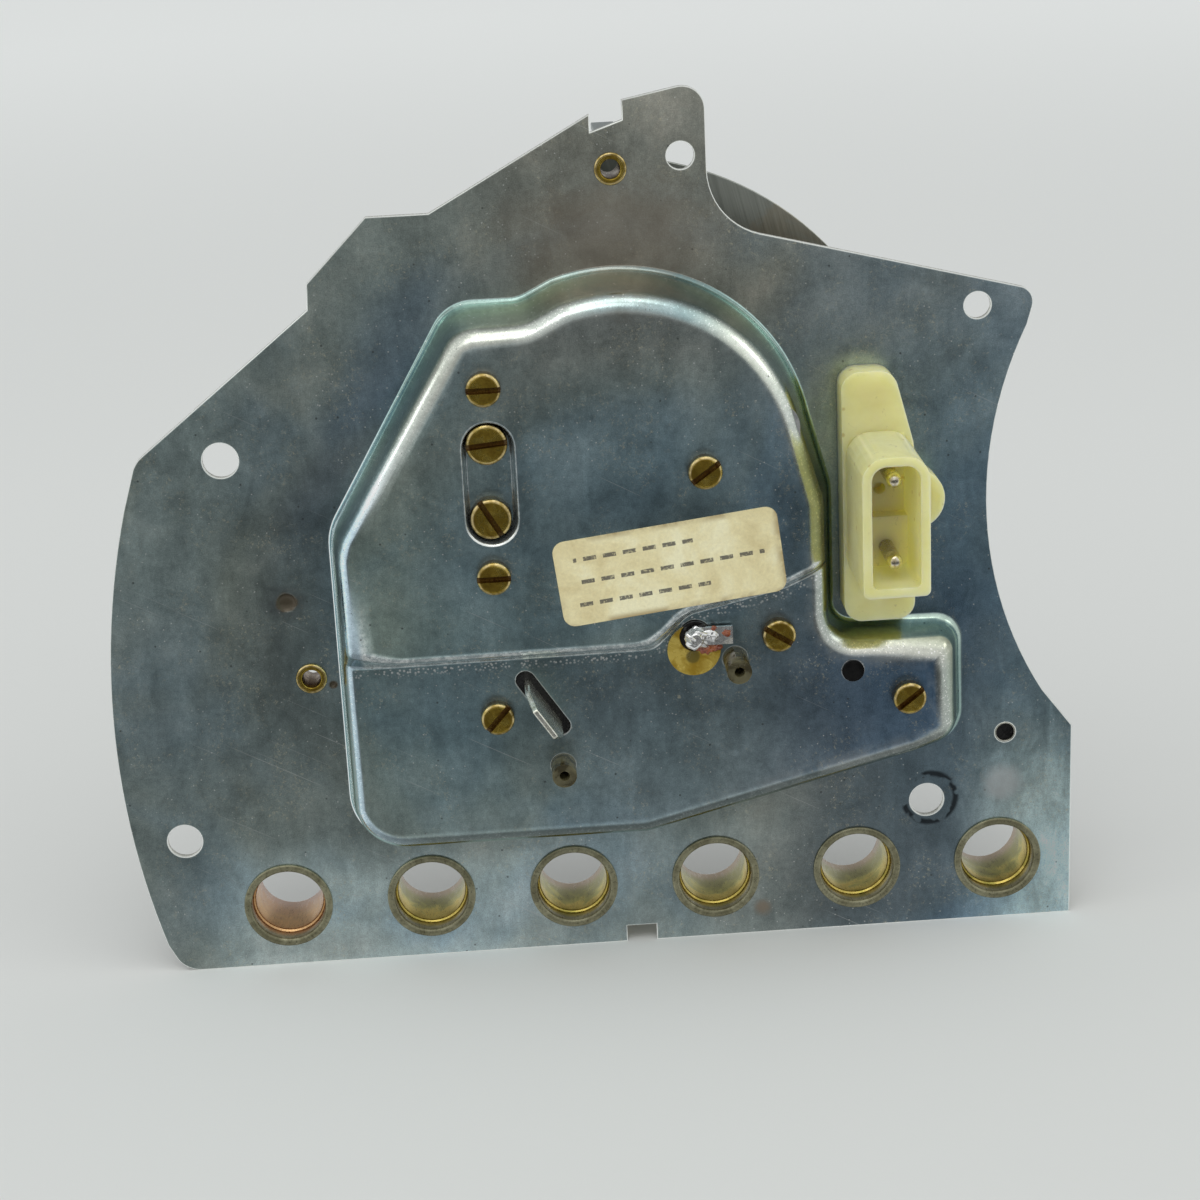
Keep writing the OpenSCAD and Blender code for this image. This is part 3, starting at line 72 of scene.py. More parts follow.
class Wire:
    """An output in a node tree. Arithmetic on it adds nodes, and | takes the larger value."""

    def __init__(self, nodes, socket):
        self.nodes, self.socket = nodes, socket

    def __add__(self, other):
        return self.nodes.math("ADD", self, other)

    def __sub__(self, other):
        return self.nodes.math("SUBTRACT", self, other)

    def __rsub__(self, other):
        return self.nodes.math("SUBTRACT", other, self)

    def __mul__(self, other):
        return self.nodes.math("MULTIPLY", self, other)

    def __or__(self, other):
        return self.nodes.math("MAXIMUM", self, other)

    def grain(self, amount, fine, dark, light):
        """This colour, darkened and lightened by a fine noise."""
        return self.tint(amount, fine.ramp((0.3, dark), (0.7, light)))

    def axis(self, name):
        return self.nodes.wire("SeparateXYZ", name, {"Vector": self})

    def band(self, low, high, start=0.0, end=1.0):
        """This value from low..high onto start..end, clamped and smooth."""
        return self.nodes.wire("MapRange", "Result", {"Value": self, "From Min": low, "From Max": high,
            "To Min": start, "To Max": end}, interpolation_type="SMOOTHSTEP")

    def ramp(self, *stops):
        """A colour ramp from (place, colour) stops in rising order."""
        wire = self.nodes.wire("ValToRGB", "Color", {"Fac": self})
        elements = wire.socket.node.color_ramp.elements
        while len(elements) < len(stops):
            elements.new(0.5)
        for element, (place, colour) in zip(elements, stops):
            element.position, element.color = place, rgba(colour)
        return wire

    def mix(self, amount, other, blend="MIX"):
        return self.nodes.mix(amount, self, other, blend)

    def tint(self, amount, other):
        """This colour, multiplied by another where amount is 1."""
        return self.mix(amount, other, "MULTIPLY")


class Nodes:
    """The node tree of a material or of the world."""

    def __init__(self, owner):
        owner.use_nodes = True
        self.tree = owner.node_tree

    def feed(self, value, socket):
        if isinstance(value, Wire):
            self.tree.links.new(value.socket, socket)
        else:
            socket.default_value = rgba(value) if socket.type == "RGBA" else value

    def wire(self, kind, output, inputs=None, **settings):
        """One output of a new node."""
        node = self.tree.nodes.new("ShaderNode" + kind)
        for key, value in settings.items():
            setattr(node, key, value)
        for key, value in (inputs or {}).items():
            self.feed(value, node.inputs[key])
        return Wire(self, node.outputs[output])

    def math(self, operation, *values):
        return self.wire("Math", 0, dict(enumerate(values)), operation=operation)

    def vector(self, operation, output, *values):
        return self.wire("VectorMath", output, dict(enumerate(values)), operation=operation)

    def mix(self, amount, a, b, blend="MIX"):
        return self.wire("Mix", 2, {0: amount, 6: a, 7: b}, data_type="RGBA", blend_type=blend)


class Shader(Nodes):
    """A Principled material whose textures run in millimetres."""

    def __init__(self, name, **values):
        self.material = bpy.data.materials.new(name)
        super().__init__(self.material)
        self.inputs = self.tree.nodes["Principled BSDF"].inputs
        for key, value in values.items():
            self.inputs[SOCKETS[key]].default_value = value
        self.space = self.wire("VectorMath", "Vector", {0: self.wire("TexCoord", "Object"), "Scale": 1 / MM},
            operation="SCALE")

    def place(self, scale=(1, 1, 1), at=(0, 0, 0), turn=0.0):
        """Coordinates from the point at, turned about Y and scaled."""
        out = self.space
        if any(at):
            out = self.vector("SUBTRACT", "Vector", out, at)
        if turn:
            out = self.wire("VectorRotate", "Vector", {"Vector": out, "Angle": turn}, rotation_type="Y_AXIS")
        return self.vector("MULTIPLY", "Vector", out, scale) if scale != (1, 1, 1) else out

    def away(self, x, z, squash=1):
        """Distance from the line along Y through (x, z)."""
        return self.vector("LENGTH", "Value", self.place((1, 0, squash), (x, 0, z)))

    def noise(self, scale, detail=4.0, rough=0.55, warp=0.0, vector=None, at=(0, 0, 0)):
        return self.wire("TexNoise", "Fac", {"Vector": vector or self.place(at=at), "Scale": scale,
            "Detail": detail, "Roughness": rough, "Distortion": warp})

    def cells(self, scale, vector=None, at=(0, 0, 0), feature="F1", spread=1.0):
        return self.wire("TexVoronoi", "Distance", {"Vector": vector or self.place(at=at), "Scale": scale,
            "Randomness": spread}, feature=feature)

    def attribute(self, name):
        return self.wire("Attribute", "Fac", attribute_name=name)

    def bump(self, height, strength, depth, under=None):
        below = {"Normal": under} if under else {}
        return self.wire("Bump", "Normal", {"Height": height, "Strength": strength, "Distance": depth * MM,
            **below})

    def done(self, colour, rough, *bump):
        """The material with its colour, roughness and bump: height, strength and depth."""
        for name, value in (("Base Color", colour), ("Roughness", rough), ("Normal", self.bump(*bump))):
            self.feed(value, self.inputs[name])
        return self.material


# Camera, floor and light

camera_data = bpy.data.cameras.new("camera")
camera_data.lens, camera_data.sensor_width, camera_data.clip_start = 74.7, 36.0, 0.01
camera = scene.camera = new_object("camera", camera_data)
right = Vector((0.99725, -0.05776, -0.04644))
down = Vector((-0.06224, -0.31251, -0.94787))
forward = Vector((0.04024, 0.94816, -0.31525))
turn = Matrix((right, -down, -forward)).transposed().to_4x4()
camera.matrix_world = Matrix.Translation(Vector((32.048, -319.425, 148.224)) * MM) @ turn
scene.view_settings.view_transform = "Standard"

for name, at, target, size, watts, colour in (
        ("softbox_top", (80, -220, 800), (45, 0, 40), (500, 300), 0.55, (1.0, 0.99, 0.96)),
        ("softbox_front", (-60, -480, 620), (45, 0, 50), (420, 260), 0.5, (1.0, 0.99, 0.97)),
        ("softbox_left", (-700, -250, 500), (40, 0, 40), (300, 300), 0.4, (0.97, 0.99, 1.0)),
        ("softbox_right", (800, -250, 450), (40, 0, 40), (250, 250), 0.25, (1.0, 0.98, 0.95))):
    lamp = bpy.data.lights.new(name, "AREA")
    lamp.shape, lamp.energy, lamp.color = "RECTANGLE", watts, colour
    lamp.size, lamp.size_y = size[0] * MM, size[1] * MM
    light = new_object(name, lamp)
    light.location = Vector(at) * MM
    light.rotation_euler = (Vector(target) - Vector(at)).to_track_quat("-Z", "Y").to_euler()

# a studio that is brightest overhead, with the dark part of the room behind the camera, which the flat
# metal mirrors
world = scene.world = bpy.data.worlds.new("studio")
room = Nodes(world)
toward = room.wire("TexCoord", "Generated")
height = toward.axis("Z")
above = height | 0.0
facing = room.vector("DOT_PRODUCT", "Value", toward, (0.05, -1.0, 0))
sky = (above * above * 0.45 + 0.76) * (1.0 - toward.axis("Y").band(0.0, 0.6) * height.band(0.10, 0.34) * 0.6)
dark = facing.band(0.66, 0.86) * height.band(-0.03, -0.15) * height.band(-0.55, -0.36)
shade = (1.0 - dark * 0.9) * height.band(-0.66, -0.82, 1.0, 0.45)
backdrop = world.node_tree.nodes["Background"].inputs
room.feed((0.94, 0.96, 0.96), backdrop["Color"])
room.feed(sky * shade, backdrop["Strength"])


def floor_material():
    s = Shader("backdrop_paper", specular=0.25)
    paper = s.mix(s.noise(0.004, 3.0, 0.5).band(0.35, 0.65), (0.680, 0.690, 0.678), (0.690, 0.700, 0.688))
    # darker round the front of the object and paler far off: painted shade and light on the floor
    reach = s.vector("LENGTH", "Value", s.place(at=(45, -120, 0)))
    paper = paper.mix(reach.band(110.0, 420.0), (0.745, 0.755, 0.743))
    paper = paper.mix(reach.band(350.0, 1600.0), (0.94, 0.95, 0.94))
    return s.done(paper, 0.75, s.noise(0.9, 4.0, 0.6), 0.08, 0.1)


BOTTOM, FLOOR_HALF = -9.1, 40.0  # the plate's bottom edge in millimetres, and half the floor's side in metres
floor_mesh = bpy.data.meshes.new("floor")
floor_mesh.from_pydata([(x * FLOOR_HALF, y * FLOOR_HALF, BOTTOM * MM)
    for x, y in ((-1, -1), (1, -1), (1, 1), (-1, 1))], [], [(0, 1, 2, 3)])
floor_mesh.materials.append(floor_material())
floor = new_object("floor", floor_mesh)
floor.visible_glossy = False


# Outlines shared with the CAD source

def along(p, degrees, d):
    a = math.radians(degrees)
    return (p[0] + d * math.cos(a), p[1] + d * math.sin(a))


def bearing(a, b):
    return math.degrees(math.atan2(b[1] - a[1], b[0] - a[0]))


def arc(centre, r, start, end, steps):
    return [along(centre, start + (end - start) * i / steps, r) for i in range(steps + 1)]


def rounded_corner(a, b, c, r, step=7.5):
    if r <= 0:
        return [tuple(b)]
    a, b, c = Vector(a), Vector(b), Vector(c)
    u, v = (a - b).normalized(), (c - b).normalized()
    half_angle = math.acos(max(-1, min(1, u.dot(v)))) / 2
    reach = r / math.tan(half_angle)
    centre = b + (u + v).normalized() * r / math.sin(half_angle)
    start = bearing(centre, b + u * reach)
    sweep = (bearing(centre, b + v * reach) - start + 540) % 360 - 180
    return arc(centre, r, start, start + sweep, max(2, math.ceil(abs(sweep) / step)))


def rounded(corners, step):
    """An outline through (x, z, radius) corners, with one point for every step in degrees of an arc."""
    out = []
    for a, b, c in zip(corners[-1:] + corners[:-1], corners, corners[1:] + corners[:1]):
        out += rounded_corner(a[:2], b[:2], c[:2], b[2], step)
    return out


def inset(corners, d):
    """The corners of an anticlockwise outline, moved inward by d."""
    out = []
    for i, (_, _, r) in enumerate(corners):
        a, b, c = (Vector(corners[j % len(corners)][:2]) for j in (i - 1, i, i + 1))
        u, v = (b - a).normalized(), (c - b).normalized()
        p = b + (Vector((-u.y, u.x)) + Vector((-v.y, v.x))) / (1 + u.dot(v)) * d
        left = u.x * v.y - u.y * v.x > 0
        out.append((p.x, p.y, max(0.05, r + (-d if left else d)) if r > 0 else 0))
    return out


RIGHT = 110.4
SHOULDER, EAR, CROOK = (104.9, 81.0), (62.0, 110.6), (62.0, 92.3)
NOTCH_L, NOTCH_R, NOTCH_TOP, NOTCH_D = 47.2, 51.4, 105.4, 2.4
HOLLOW, HOLLOW_R = (152.9, 53.1), 54.5
BOW, BOW_R = (96.2, 25.9), 117.6


def side_arc(centre, r, z0, z1, steps=24):
    """The left part of a circle, between two heights."""
    a0, a1 = (math.asin((z - centre[1]) / r) for z in (z0, z1))
    angles = [a0 + (a1 - a0) * i / steps for i in range(steps + 1)]
    return [(centre[0] - r * math.cos(a), centre[1] + r * math.sin(a)) for a in angles]


OUTLINE = (
    arc((-12.8, BOTTOM + 4), 4, 215, 270, 8)
    + [(NOTCH_L, BOTTOM), (NOTCH_L, BOTTOM + NOTCH_D), (NOTCH_R, BOTTOM + NOTCH_D), (NOTCH_R, BOTTOM)]
    + [(RIGHT, BOTTOM), (RIGHT, 19.4)]
    + side_arc(HOLLOW, HOLLOW_R, 25, 76.6)
    + rounded_corner((103.8, 76.6), SHOULDER, (CROOK[0] + 8, CROOK[1]), 2.2)
    + rounded_corner(SHOULDER, CROOK, EAR, 9)
    + rounded_corner(CROOK, EAR, (NOTCH_R, 108.6), 3)
    + [(NOTCH_R, 108.6), (NOTCH_R, NOTCH_TOP + 0.7), (NOTCH_L, NOTCH_TOP - 0.7), (NOTCH_L, 107)]
    + [(26, 95.5), (17.9, 95.5), (9.7, 87.3), (9.5, 83.9)]
    + rounded_corner((9.5, 83.9), (-14.7, 64.9), (-16.9, 58.5), 4)
    + side_arc(BOW, BOW_R, 58.5, -5)
)
CROWN = [(x, z, 0) for x, z in arc((49.1, 61.6), 26, 12, 108, 32)]
PAN = ([(9.7, 8, 8), (50.9, 8, 6), (88, 17.4, 6), (95.1, 19.2, 5), (95.1, 37.4, 4), (77.4, 37.4, 2.5),
    (77.4, 56.5, 6)] + CROWN + [(36.8, 84.2, 5), (27.4, 84.2, 6), (9.7, 54.2, 8)])
UPPER = [(7.95, 36.1, 3), (52.4, 36.4, 3), (57.0, 41.0, 4), (70.3, 44.0, 6), (79.2, 48.0, 1), (79.2, 100, 1),
    (7.95, 100, 1)]
POCKET, POCKET_W, POCKET_LEN, POCKET_D = (31.75, 61.6), 7.4, 17.0, 2.2
TAB, TAB_TURN = (37.05, 29.9), -57.0
TERMINAL = (57.8, 38.2)
PEG_A, PEG_B = (39.3, 20.8), (63.1, 34.6)
IDLER, KNOB = (79.0, 31.8), (101.045, 18.983)
SPINDLE, CLOCK = (48.3, 61.8), (48.3, 30.5)
LAMPS = [(20.0 * i, 0.0) for i in range(6)]
INSERTS = [(49.6, 100.0), (5.95, 33.4)]
ROUND_HOLES = (
    [((-3.5, 64.55), 2.4), ((-13.4, 10.65), 2.4), ((90, 9.6), 2.4), ((58.65, 101.2), 1.8),
        ((97.1, 79.5), 1.8)]
    + [(p, 5.6) for p in LAMPS] + [(p, 1.7) for p in INSERTS]
    + [(p, 1.35) for p in [(31.6, 74.4), (31.5, 49.2), (59.6, 61.8), (30.85, 28.5), (69.0, 37.8),
        (86.5, 27.7)]]
    + [(p, 1.6) for p in [(31.6, 66.8), (31.6, 56.8)]]
    + [(PEG_A, 1.7), (PEG_B, 1.7), (IDLER, 1.5), (TERMINAL, 2.2), (KNOB, 1.45)]
)


def circle(centre, r, steps):
    return [along(centre, 360 * i / steps, r) for i in range(steps)]


def between(low, high, n):
    """Quads between two rings of n points that start at the indices low and high."""
    return [(low + i, low + (i + 1) % n, high + (i + 1) % n, high + i) for i in range(n)]


def obround(centre, length, r, degrees, steps=12):
    half_len = length / 2 - r
    out = arc(along(centre, degrees, half_len), r, degrees - 90, degrees + 90, steps)
    return out + arc(along(centre, degrees, -half_len), r, degrees + 90, degrees + 270, steps)


def window(grow=0.0):
    x, z = 83.35, 60.6 - 10.95 / 2
    w, h = 5.5 / 2 + grow, 17.95 / 2 + grow
    return [(x - w, z - h), (x + w, z - h), (x + w, z + h), (x - w, z + h)]


# The carrier plate's surface

def segment_distance(points, loop):
    a = np.array(loop)
    b = np.roll(a, -1, axis=0)
    best = np.full(len(points), 1e9)
    for k in range(0, len(a), 32):
        p0, d = a[k:k + 32], b[k:k + 32] - a[k:k + 32]
        rel = points[:, None] - p0[None]
        t = np.clip((rel * d).sum(-1) / np.maximum((d * d).sum(-1), 1e-12), 0, 1)
        best = np.minimum(best, np.linalg.norm(rel - t[..., None] * d, axis=-1).min(axis=1))
    return best


def is_inside(points, loop):
    a = np.array(loop)
    b = np.roll(a, -1, axis=0)
    x, z = points[:, 0:1], points[:, 1:2]
    cross = (a[:, 1] > z) != (b[:, 1] > z)
    at = (a[:, 0] + (z - a[:, 1]) / np.where(b[:, 1] == a[:, 1], 1e-12, b[:, 1] - a[:, 1])
        * (b[:, 0] - a[:, 0]))
    return (cross & (x < at)).sum(axis=1) % 2 == 1


def depth_inside(points, loop):
    return np.where(is_inside(points, loop), 1, -1) * segment_distance(points, loop)


def drawn_wall(d, height, r1, r2, degrees):
    """Height over the flat at the distance d inside a drawn wall with a root radius and a top radius."""
    a = math.radians(degrees)
    s, c = math.sin(a), math.cos(a)
    x1, y1 = r1 * s, r1 * (1 - c)
    x2 = x1 + (height - r2 * (1 - c) - y1) / math.tan(a)
    x3 = x2 + r2 * s
    root = r1 - np.sqrt(np.maximum(r1 * r1 - np.clip(d, 0, x1) ** 2, 0))
    top = height - r2 + np.sqrt(np.maximum(r2 * r2 - np.clip(x3 - d, 0, r2) ** 2, 0))
    straight = y1 + (d - x1) * math.tan(a)
    return np.where(d <= 0, 0, np.where(d < x1, root, np.where(d < x2, straight,
        np.where(d < x3, top, height))))


PAN_LOOP = rounded(PAN, 5)
UPPER_LOOP = rounded(UPPER, 5)
WALL_RUN, TOP_INSET, STEEP_RUN, STEP_RUN = 4.8, 4.3, 2.6, 2.6
LOWER, RISE, SHEET = 6, 3, 1  # height of the lower level, of the step above it, and the sheet's thickness


def corner_inset(corners, i, before, after):
    """A corner moved inward by one distance from the edge before it and by another from the edge after it."""
    a, b, c = (Vector(corners[j % len(corners)][:2]) for j in (i - 1, i, i + 1))
    u, v = (b - a).normalized(), (c - b).normalized()
    p = b + (v * before - u * after) / (u.x * v.y - u.y * v.x)
    return p.x, p.y


PAN_TOP = [(x, z, max(r, 5.0) if r else 0) for x, z, r in inset(PAN, TOP_INSET)]
PAN_TOP[-3] = (*PAN_TOP[-3][:2], 7.0)
for i, before, after, r in ((-2, TOP_INSET, STEEP_RUN, 9.0), (-1, STEEP_RUN, STEEP_RUN, 14.0),
        (0, STEEP_RUN, TOP_INSET, 5.0)):
    PAN_TOP[i] = (*corner_inset(PAN, i, before, after), r)
PAN_TOP = rounded(PAN_TOP, 5)
UPPER_TOP = inset(UPPER, STEP_RUN)
UPPER_TOP = rounded([(*UPPER_TOP[0][:2], 9.0), (*UPPER_TOP[1][:2], 6.0)] + UPPER_TOP[2:], 5)


def stretched_depth(points, root_loop, top_loop, run):
    """Distance inside a level, stretched so that its wall ends on the rounder top outline."""
    root, top = depth_inside(points, root_loop), depth_inside(points, top_loop)
    share = np.clip(root / np.maximum(root - np.minimum(top, 0), 1e-6), 0, 1)
    return np.where(root <= 0, root, np.where(top >= 0, run + top, run * share))


def level_depths(points):
    return (stretched_depth(points, PAN_LOOP, PAN_TOP, WALL_RUN),
        stretched_depth(points, UPPER_LOOP, UPPER_TOP, STEP_RUN))


SLOT_LOOPS = [obround(TAB, 10.8, 1.325, TAB_TURN), window()]
ROLL = 0.18  # reach of the rounded edge that shearing leaves
DENTS = [((3.5, 44.4), 1.3, 0.4), ((8.8, 32.3), 0.45, 0.25)]


def pocket_depth(points):
    rel = points - np.array(POCKET)
    over = np.abs(rel[:, 1]) - (POCKET_LEN - POCKET_W) / 2
    return POCKET_W / 2 - np.hypot(rel[:, 0], np.maximum(over, 0))


def plate_height(points):
    """Height toward the rear, and distance inside the pan, inside the upper level and to the next edge."""
    pan, upper = level_depths(points)
    level = LOWER + drawn_wall(upper, RISE, 0.5, 1.4, 67)
    h = drawn_wall(pan, level, 0.8, 3.0, 76)
    h = h - drawn_wall(pocket_depth(points), POCKET_D, 0.4, 0.25, 79)
    for centre, r, deep in DENTS:
        reach = np.linalg.norm(points - np.array(centre), axis=1) / r
        h = h - deep * np.clip(1 - reach ** 4, 0, 1)
    edge = segment_distance(points, OUTLINE)
    for loop in SLOT_LOOPS:
        edge = np.minimum(edge, segment_distance(points, loop))
    for centre, r in ROUND_HOLES:
        edge = np.minimum(edge, np.abs(np.linalg.norm(points - np.array(centre), axis=1) - r))
    return h - 0.1 * np.clip(1 - edge / ROLL, 0, 1) ** 2, pan, upper, edge


def plate_inside(points):
    """Height of the sheet's front face over the flat one."""
    pan, upper = level_depths(points)
    level = LOWER + drawn_wall(upper - 0.8, RISE, 1.3, 0.6, 67)
    h = drawn_wall(pan - 0.85, level, 1.6, 2.0, 76)
    return h - drawn_wall(pocket_depth(points) + 0.85, POCKET_D, 1.0, 0.4, 78)


def add_object(name, vertices, faces, materials, smooth=True, normals=None, which=None):
    """A piece on the carrier, from points in millimetres."""
    mesh = bpy.data.meshes.new(name)
    mesh.from_pydata([tuple(float(c) * MM for c in v) for v in vertices], [], faces)
    for material in materials:
        mesh.materials.append(material)
    if which is not None:
        mesh.polygons.foreach_set("material_index", which)
    mesh.polygons.foreach_set("use_smooth", [smooth] * len(mesh.polygons))
    mesh.update()
    if normals is not None:
        mesh.normals_split_custom_set_from_vertices(normals)
    piece = new_object(name, mesh)
    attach(piece, "carrier")
    return piece


def make_plate(materials):
    """Triangulated rear face, a front that follows it, and the sheared edges between them."""
    loops = [(OUTLINE, False), ([p[:2] for p in inset([(x, z, 0) for x, z in OUTLINE], ROLL)], False)]
    for d in (-1.4, -0.7, -0.3, 0, 0.17, 0.34, 0.52, 0.69, 0.9, 1.2, 1.4, 1.55, 1.68, 1.8, 1.92, 2.05, 2.2,
            2.35, 2.5, 2.7, 2.9, 3.15, 3.4, 3.65, 3.9, 4.2, 4.5, 4.8, 5.3, 5.8):
        loops.append((rounded(inset(PAN, d), 6), False))
    for d in (-0.5, 0, 0.12, 0.24, 0.36, 0.46, 0.7, 0.95, 1.15, 1.35, 1.6, 1.85, 2.1, 2.35, 2.6, 3.0, 3.5):
        loops.append((rounded(inset(UPPER, d), 6), True))
    for d in (-0.4, 0, 0.12, 0.25, 0.4, 0.54, 0.7, 0.8, 0.9, 1.0, 1.1, 1.5):
        loops.append((obround(POCKET, POCKET_LEN - 2 * d, POCKET_W / 2 - d, 90, 16), False))
    for centre, r, _ in DENTS:
        loops += [(circle(centre, r * k, 24), False) for k in (0.25, 0.6, 0.8, 0.92, 1.0, 1.1)]
    holes = [circle(c, r, 64 if r > 3 else 40) for c, r in ROUND_HOLES] + SLOT_LOOPS
    loops += [(loop, False) for loop in holes]
    loops += [(circle(c, r + ROLL, 64 if r > 3 else 40), False) for c, r in ROUND_HOLES]
    loops += [(obround(TAB, 10.8 + 2 * ROLL, 1.325 + ROLL, TAB_TURN), False), (window(ROLL), False)]
    points, edges = [], []
    for loop, clipped in loops:
        pts = np.array(loop)
        keep = np.ones(len(pts), bool)
        if clipped:
            dense = []
            for i in range(len(pts)):
                p, q = pts[i], pts[(i + 1) % len(pts)]
                steps = max(1, int(np.linalg.norm(q - p) / 1.5))
                dense += [p + (q - p) * k / steps for k in range(steps)]
            pts = np.array(dense)
            keep = depth_inside(pts, PAN_LOOP) > 0.05
        first = len(points)
        points += [tuple(p) for p in pts]
        n = len(pts)
        edges += [(first + i, first + (i + 1) % n) for i in range(n) if keep[i] and keep[(i + 1) % n]]
    used = sorted({i for e in edges for i in e})
    index = {old: new for new, old in enumerate(used)}
    flat = [Vector(points[i]) for i in used]
    out, _, faces = delaunay_2d_cdt(flat, [(index[a], index[b]) for a, b in edges], [], 0, 1e-4)[:3]
    pts = np.array([(v.x, v.y) for v in out])
    tri = np.array(faces)
    middle = pts[tri].mean(axis=1)
    keep = is_inside(middle, OUTLINE)
    for loop in holes:
        keep &= ~is_inside(middle, loop)
    tri = tri[keep]
    a, b, c = (pts[tri[:, k]] for k in range(3))
    turned = (b[:, 0] - a[:, 0]) * (c[:, 1] - a[:, 1]) - (b[:, 1] - a[:, 1]) * (c[:, 0] - a[:, 0]) < 0
    tri[turned] = tri[turned][:, ::-1]
    live = np.unique(tri)
    remap = np.full(len(pts), -1)
    remap[live] = np.arange(len(live))
    pts, tri = pts[live], remap[tri]

    def normals_of(height, sign):
        e = 0.015
        hx = (height(pts + [e, 0]) - height(pts - [e, 0])) / (2 * e)
        hz = (height(pts + [0, e]) - height(pts - [0, e])) / (2 * e)
        n = np.stack([-hx, -np.ones(len(pts)), -hz], axis=1) * sign
        return n / np.linalg.norm(n, axis=1)[:, None]

    h, pan, upper, edge = plate_height(pts)
    outer = np.stack([pts[:, 0], -h, pts[:, 1]], axis=1)
    inner = np.stack([pts[:, 0], SHEET - plate_inside(pts), pts[:, 1]], axis=1)
    n_outer = normals_of(lambda p: plate_height(p)[0], 1)
    n_inner = normals_of(plate_inside, -1)
    vertices, normals, count = [*outer, *inner], [*n_outer, *n_inner], len(pts)
    faces = [tuple(t) for t in tri] + [tuple(t[::-1] + count) for t in tri]
    which = [0] * len(tri) + [1] * len(tri)
    for loop in [OUTLINE] + holes:
        ring, start = np.array(loop), len(vertices)
        side = (np.roll(ring, -1, axis=0) - np.roll(ring, 1, axis=0))[:, ::-1] * (1, -1)
        side /= np.linalg.norm(side, axis=1)[:, None] * (1 if loop is OUTLINE else -1)
        for (x, z), top, under, (nx, nz) in zip(ring, -plate_height(ring)[0], SHEET - plate_inside(ring),
                side):
            vertices += [(x, top, z), (x, under, z)]
            normals += [(nx, 0, nz)] * 2
        for i in range(len(ring)):
            a, b = start + 2 * i, start + 2 * ((i + 1) % len(ring))
            quad = (a, b, b + 1, a + 1)
            faces.append(quad[::-1] if loop is OUTLINE else quad)
            which.append(2)
    piece = add_object("carrier_plate", vertices, [tuple(int(i) for i in f) for f in faces], materials,
        normals=[tuple(n) for n in normals], which=which)
    slope, pocket = np.abs(n_outer[:, 0]) + np.abs(n_outer[:, 2]), pocket_depth(pts)
    for name, rear, front, rim in (("slope", slope, 0 * slope, 0), ("pan", pan, pan, -9),
            ("upper", upper, upper, -9), ("level", h, h, 0), ("edge", edge, edge, 0),
            ("pocket", pocket, pocket, -9)):
        values = np.concatenate([rear, front, np.full(len(vertices) - 2 * count, rim)])
        piece.data.attributes.new(name, "FLOAT", "POINT").data.foreach_set("value", values.astype(np.float32))
    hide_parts("rear_plate")


# The plate's materials

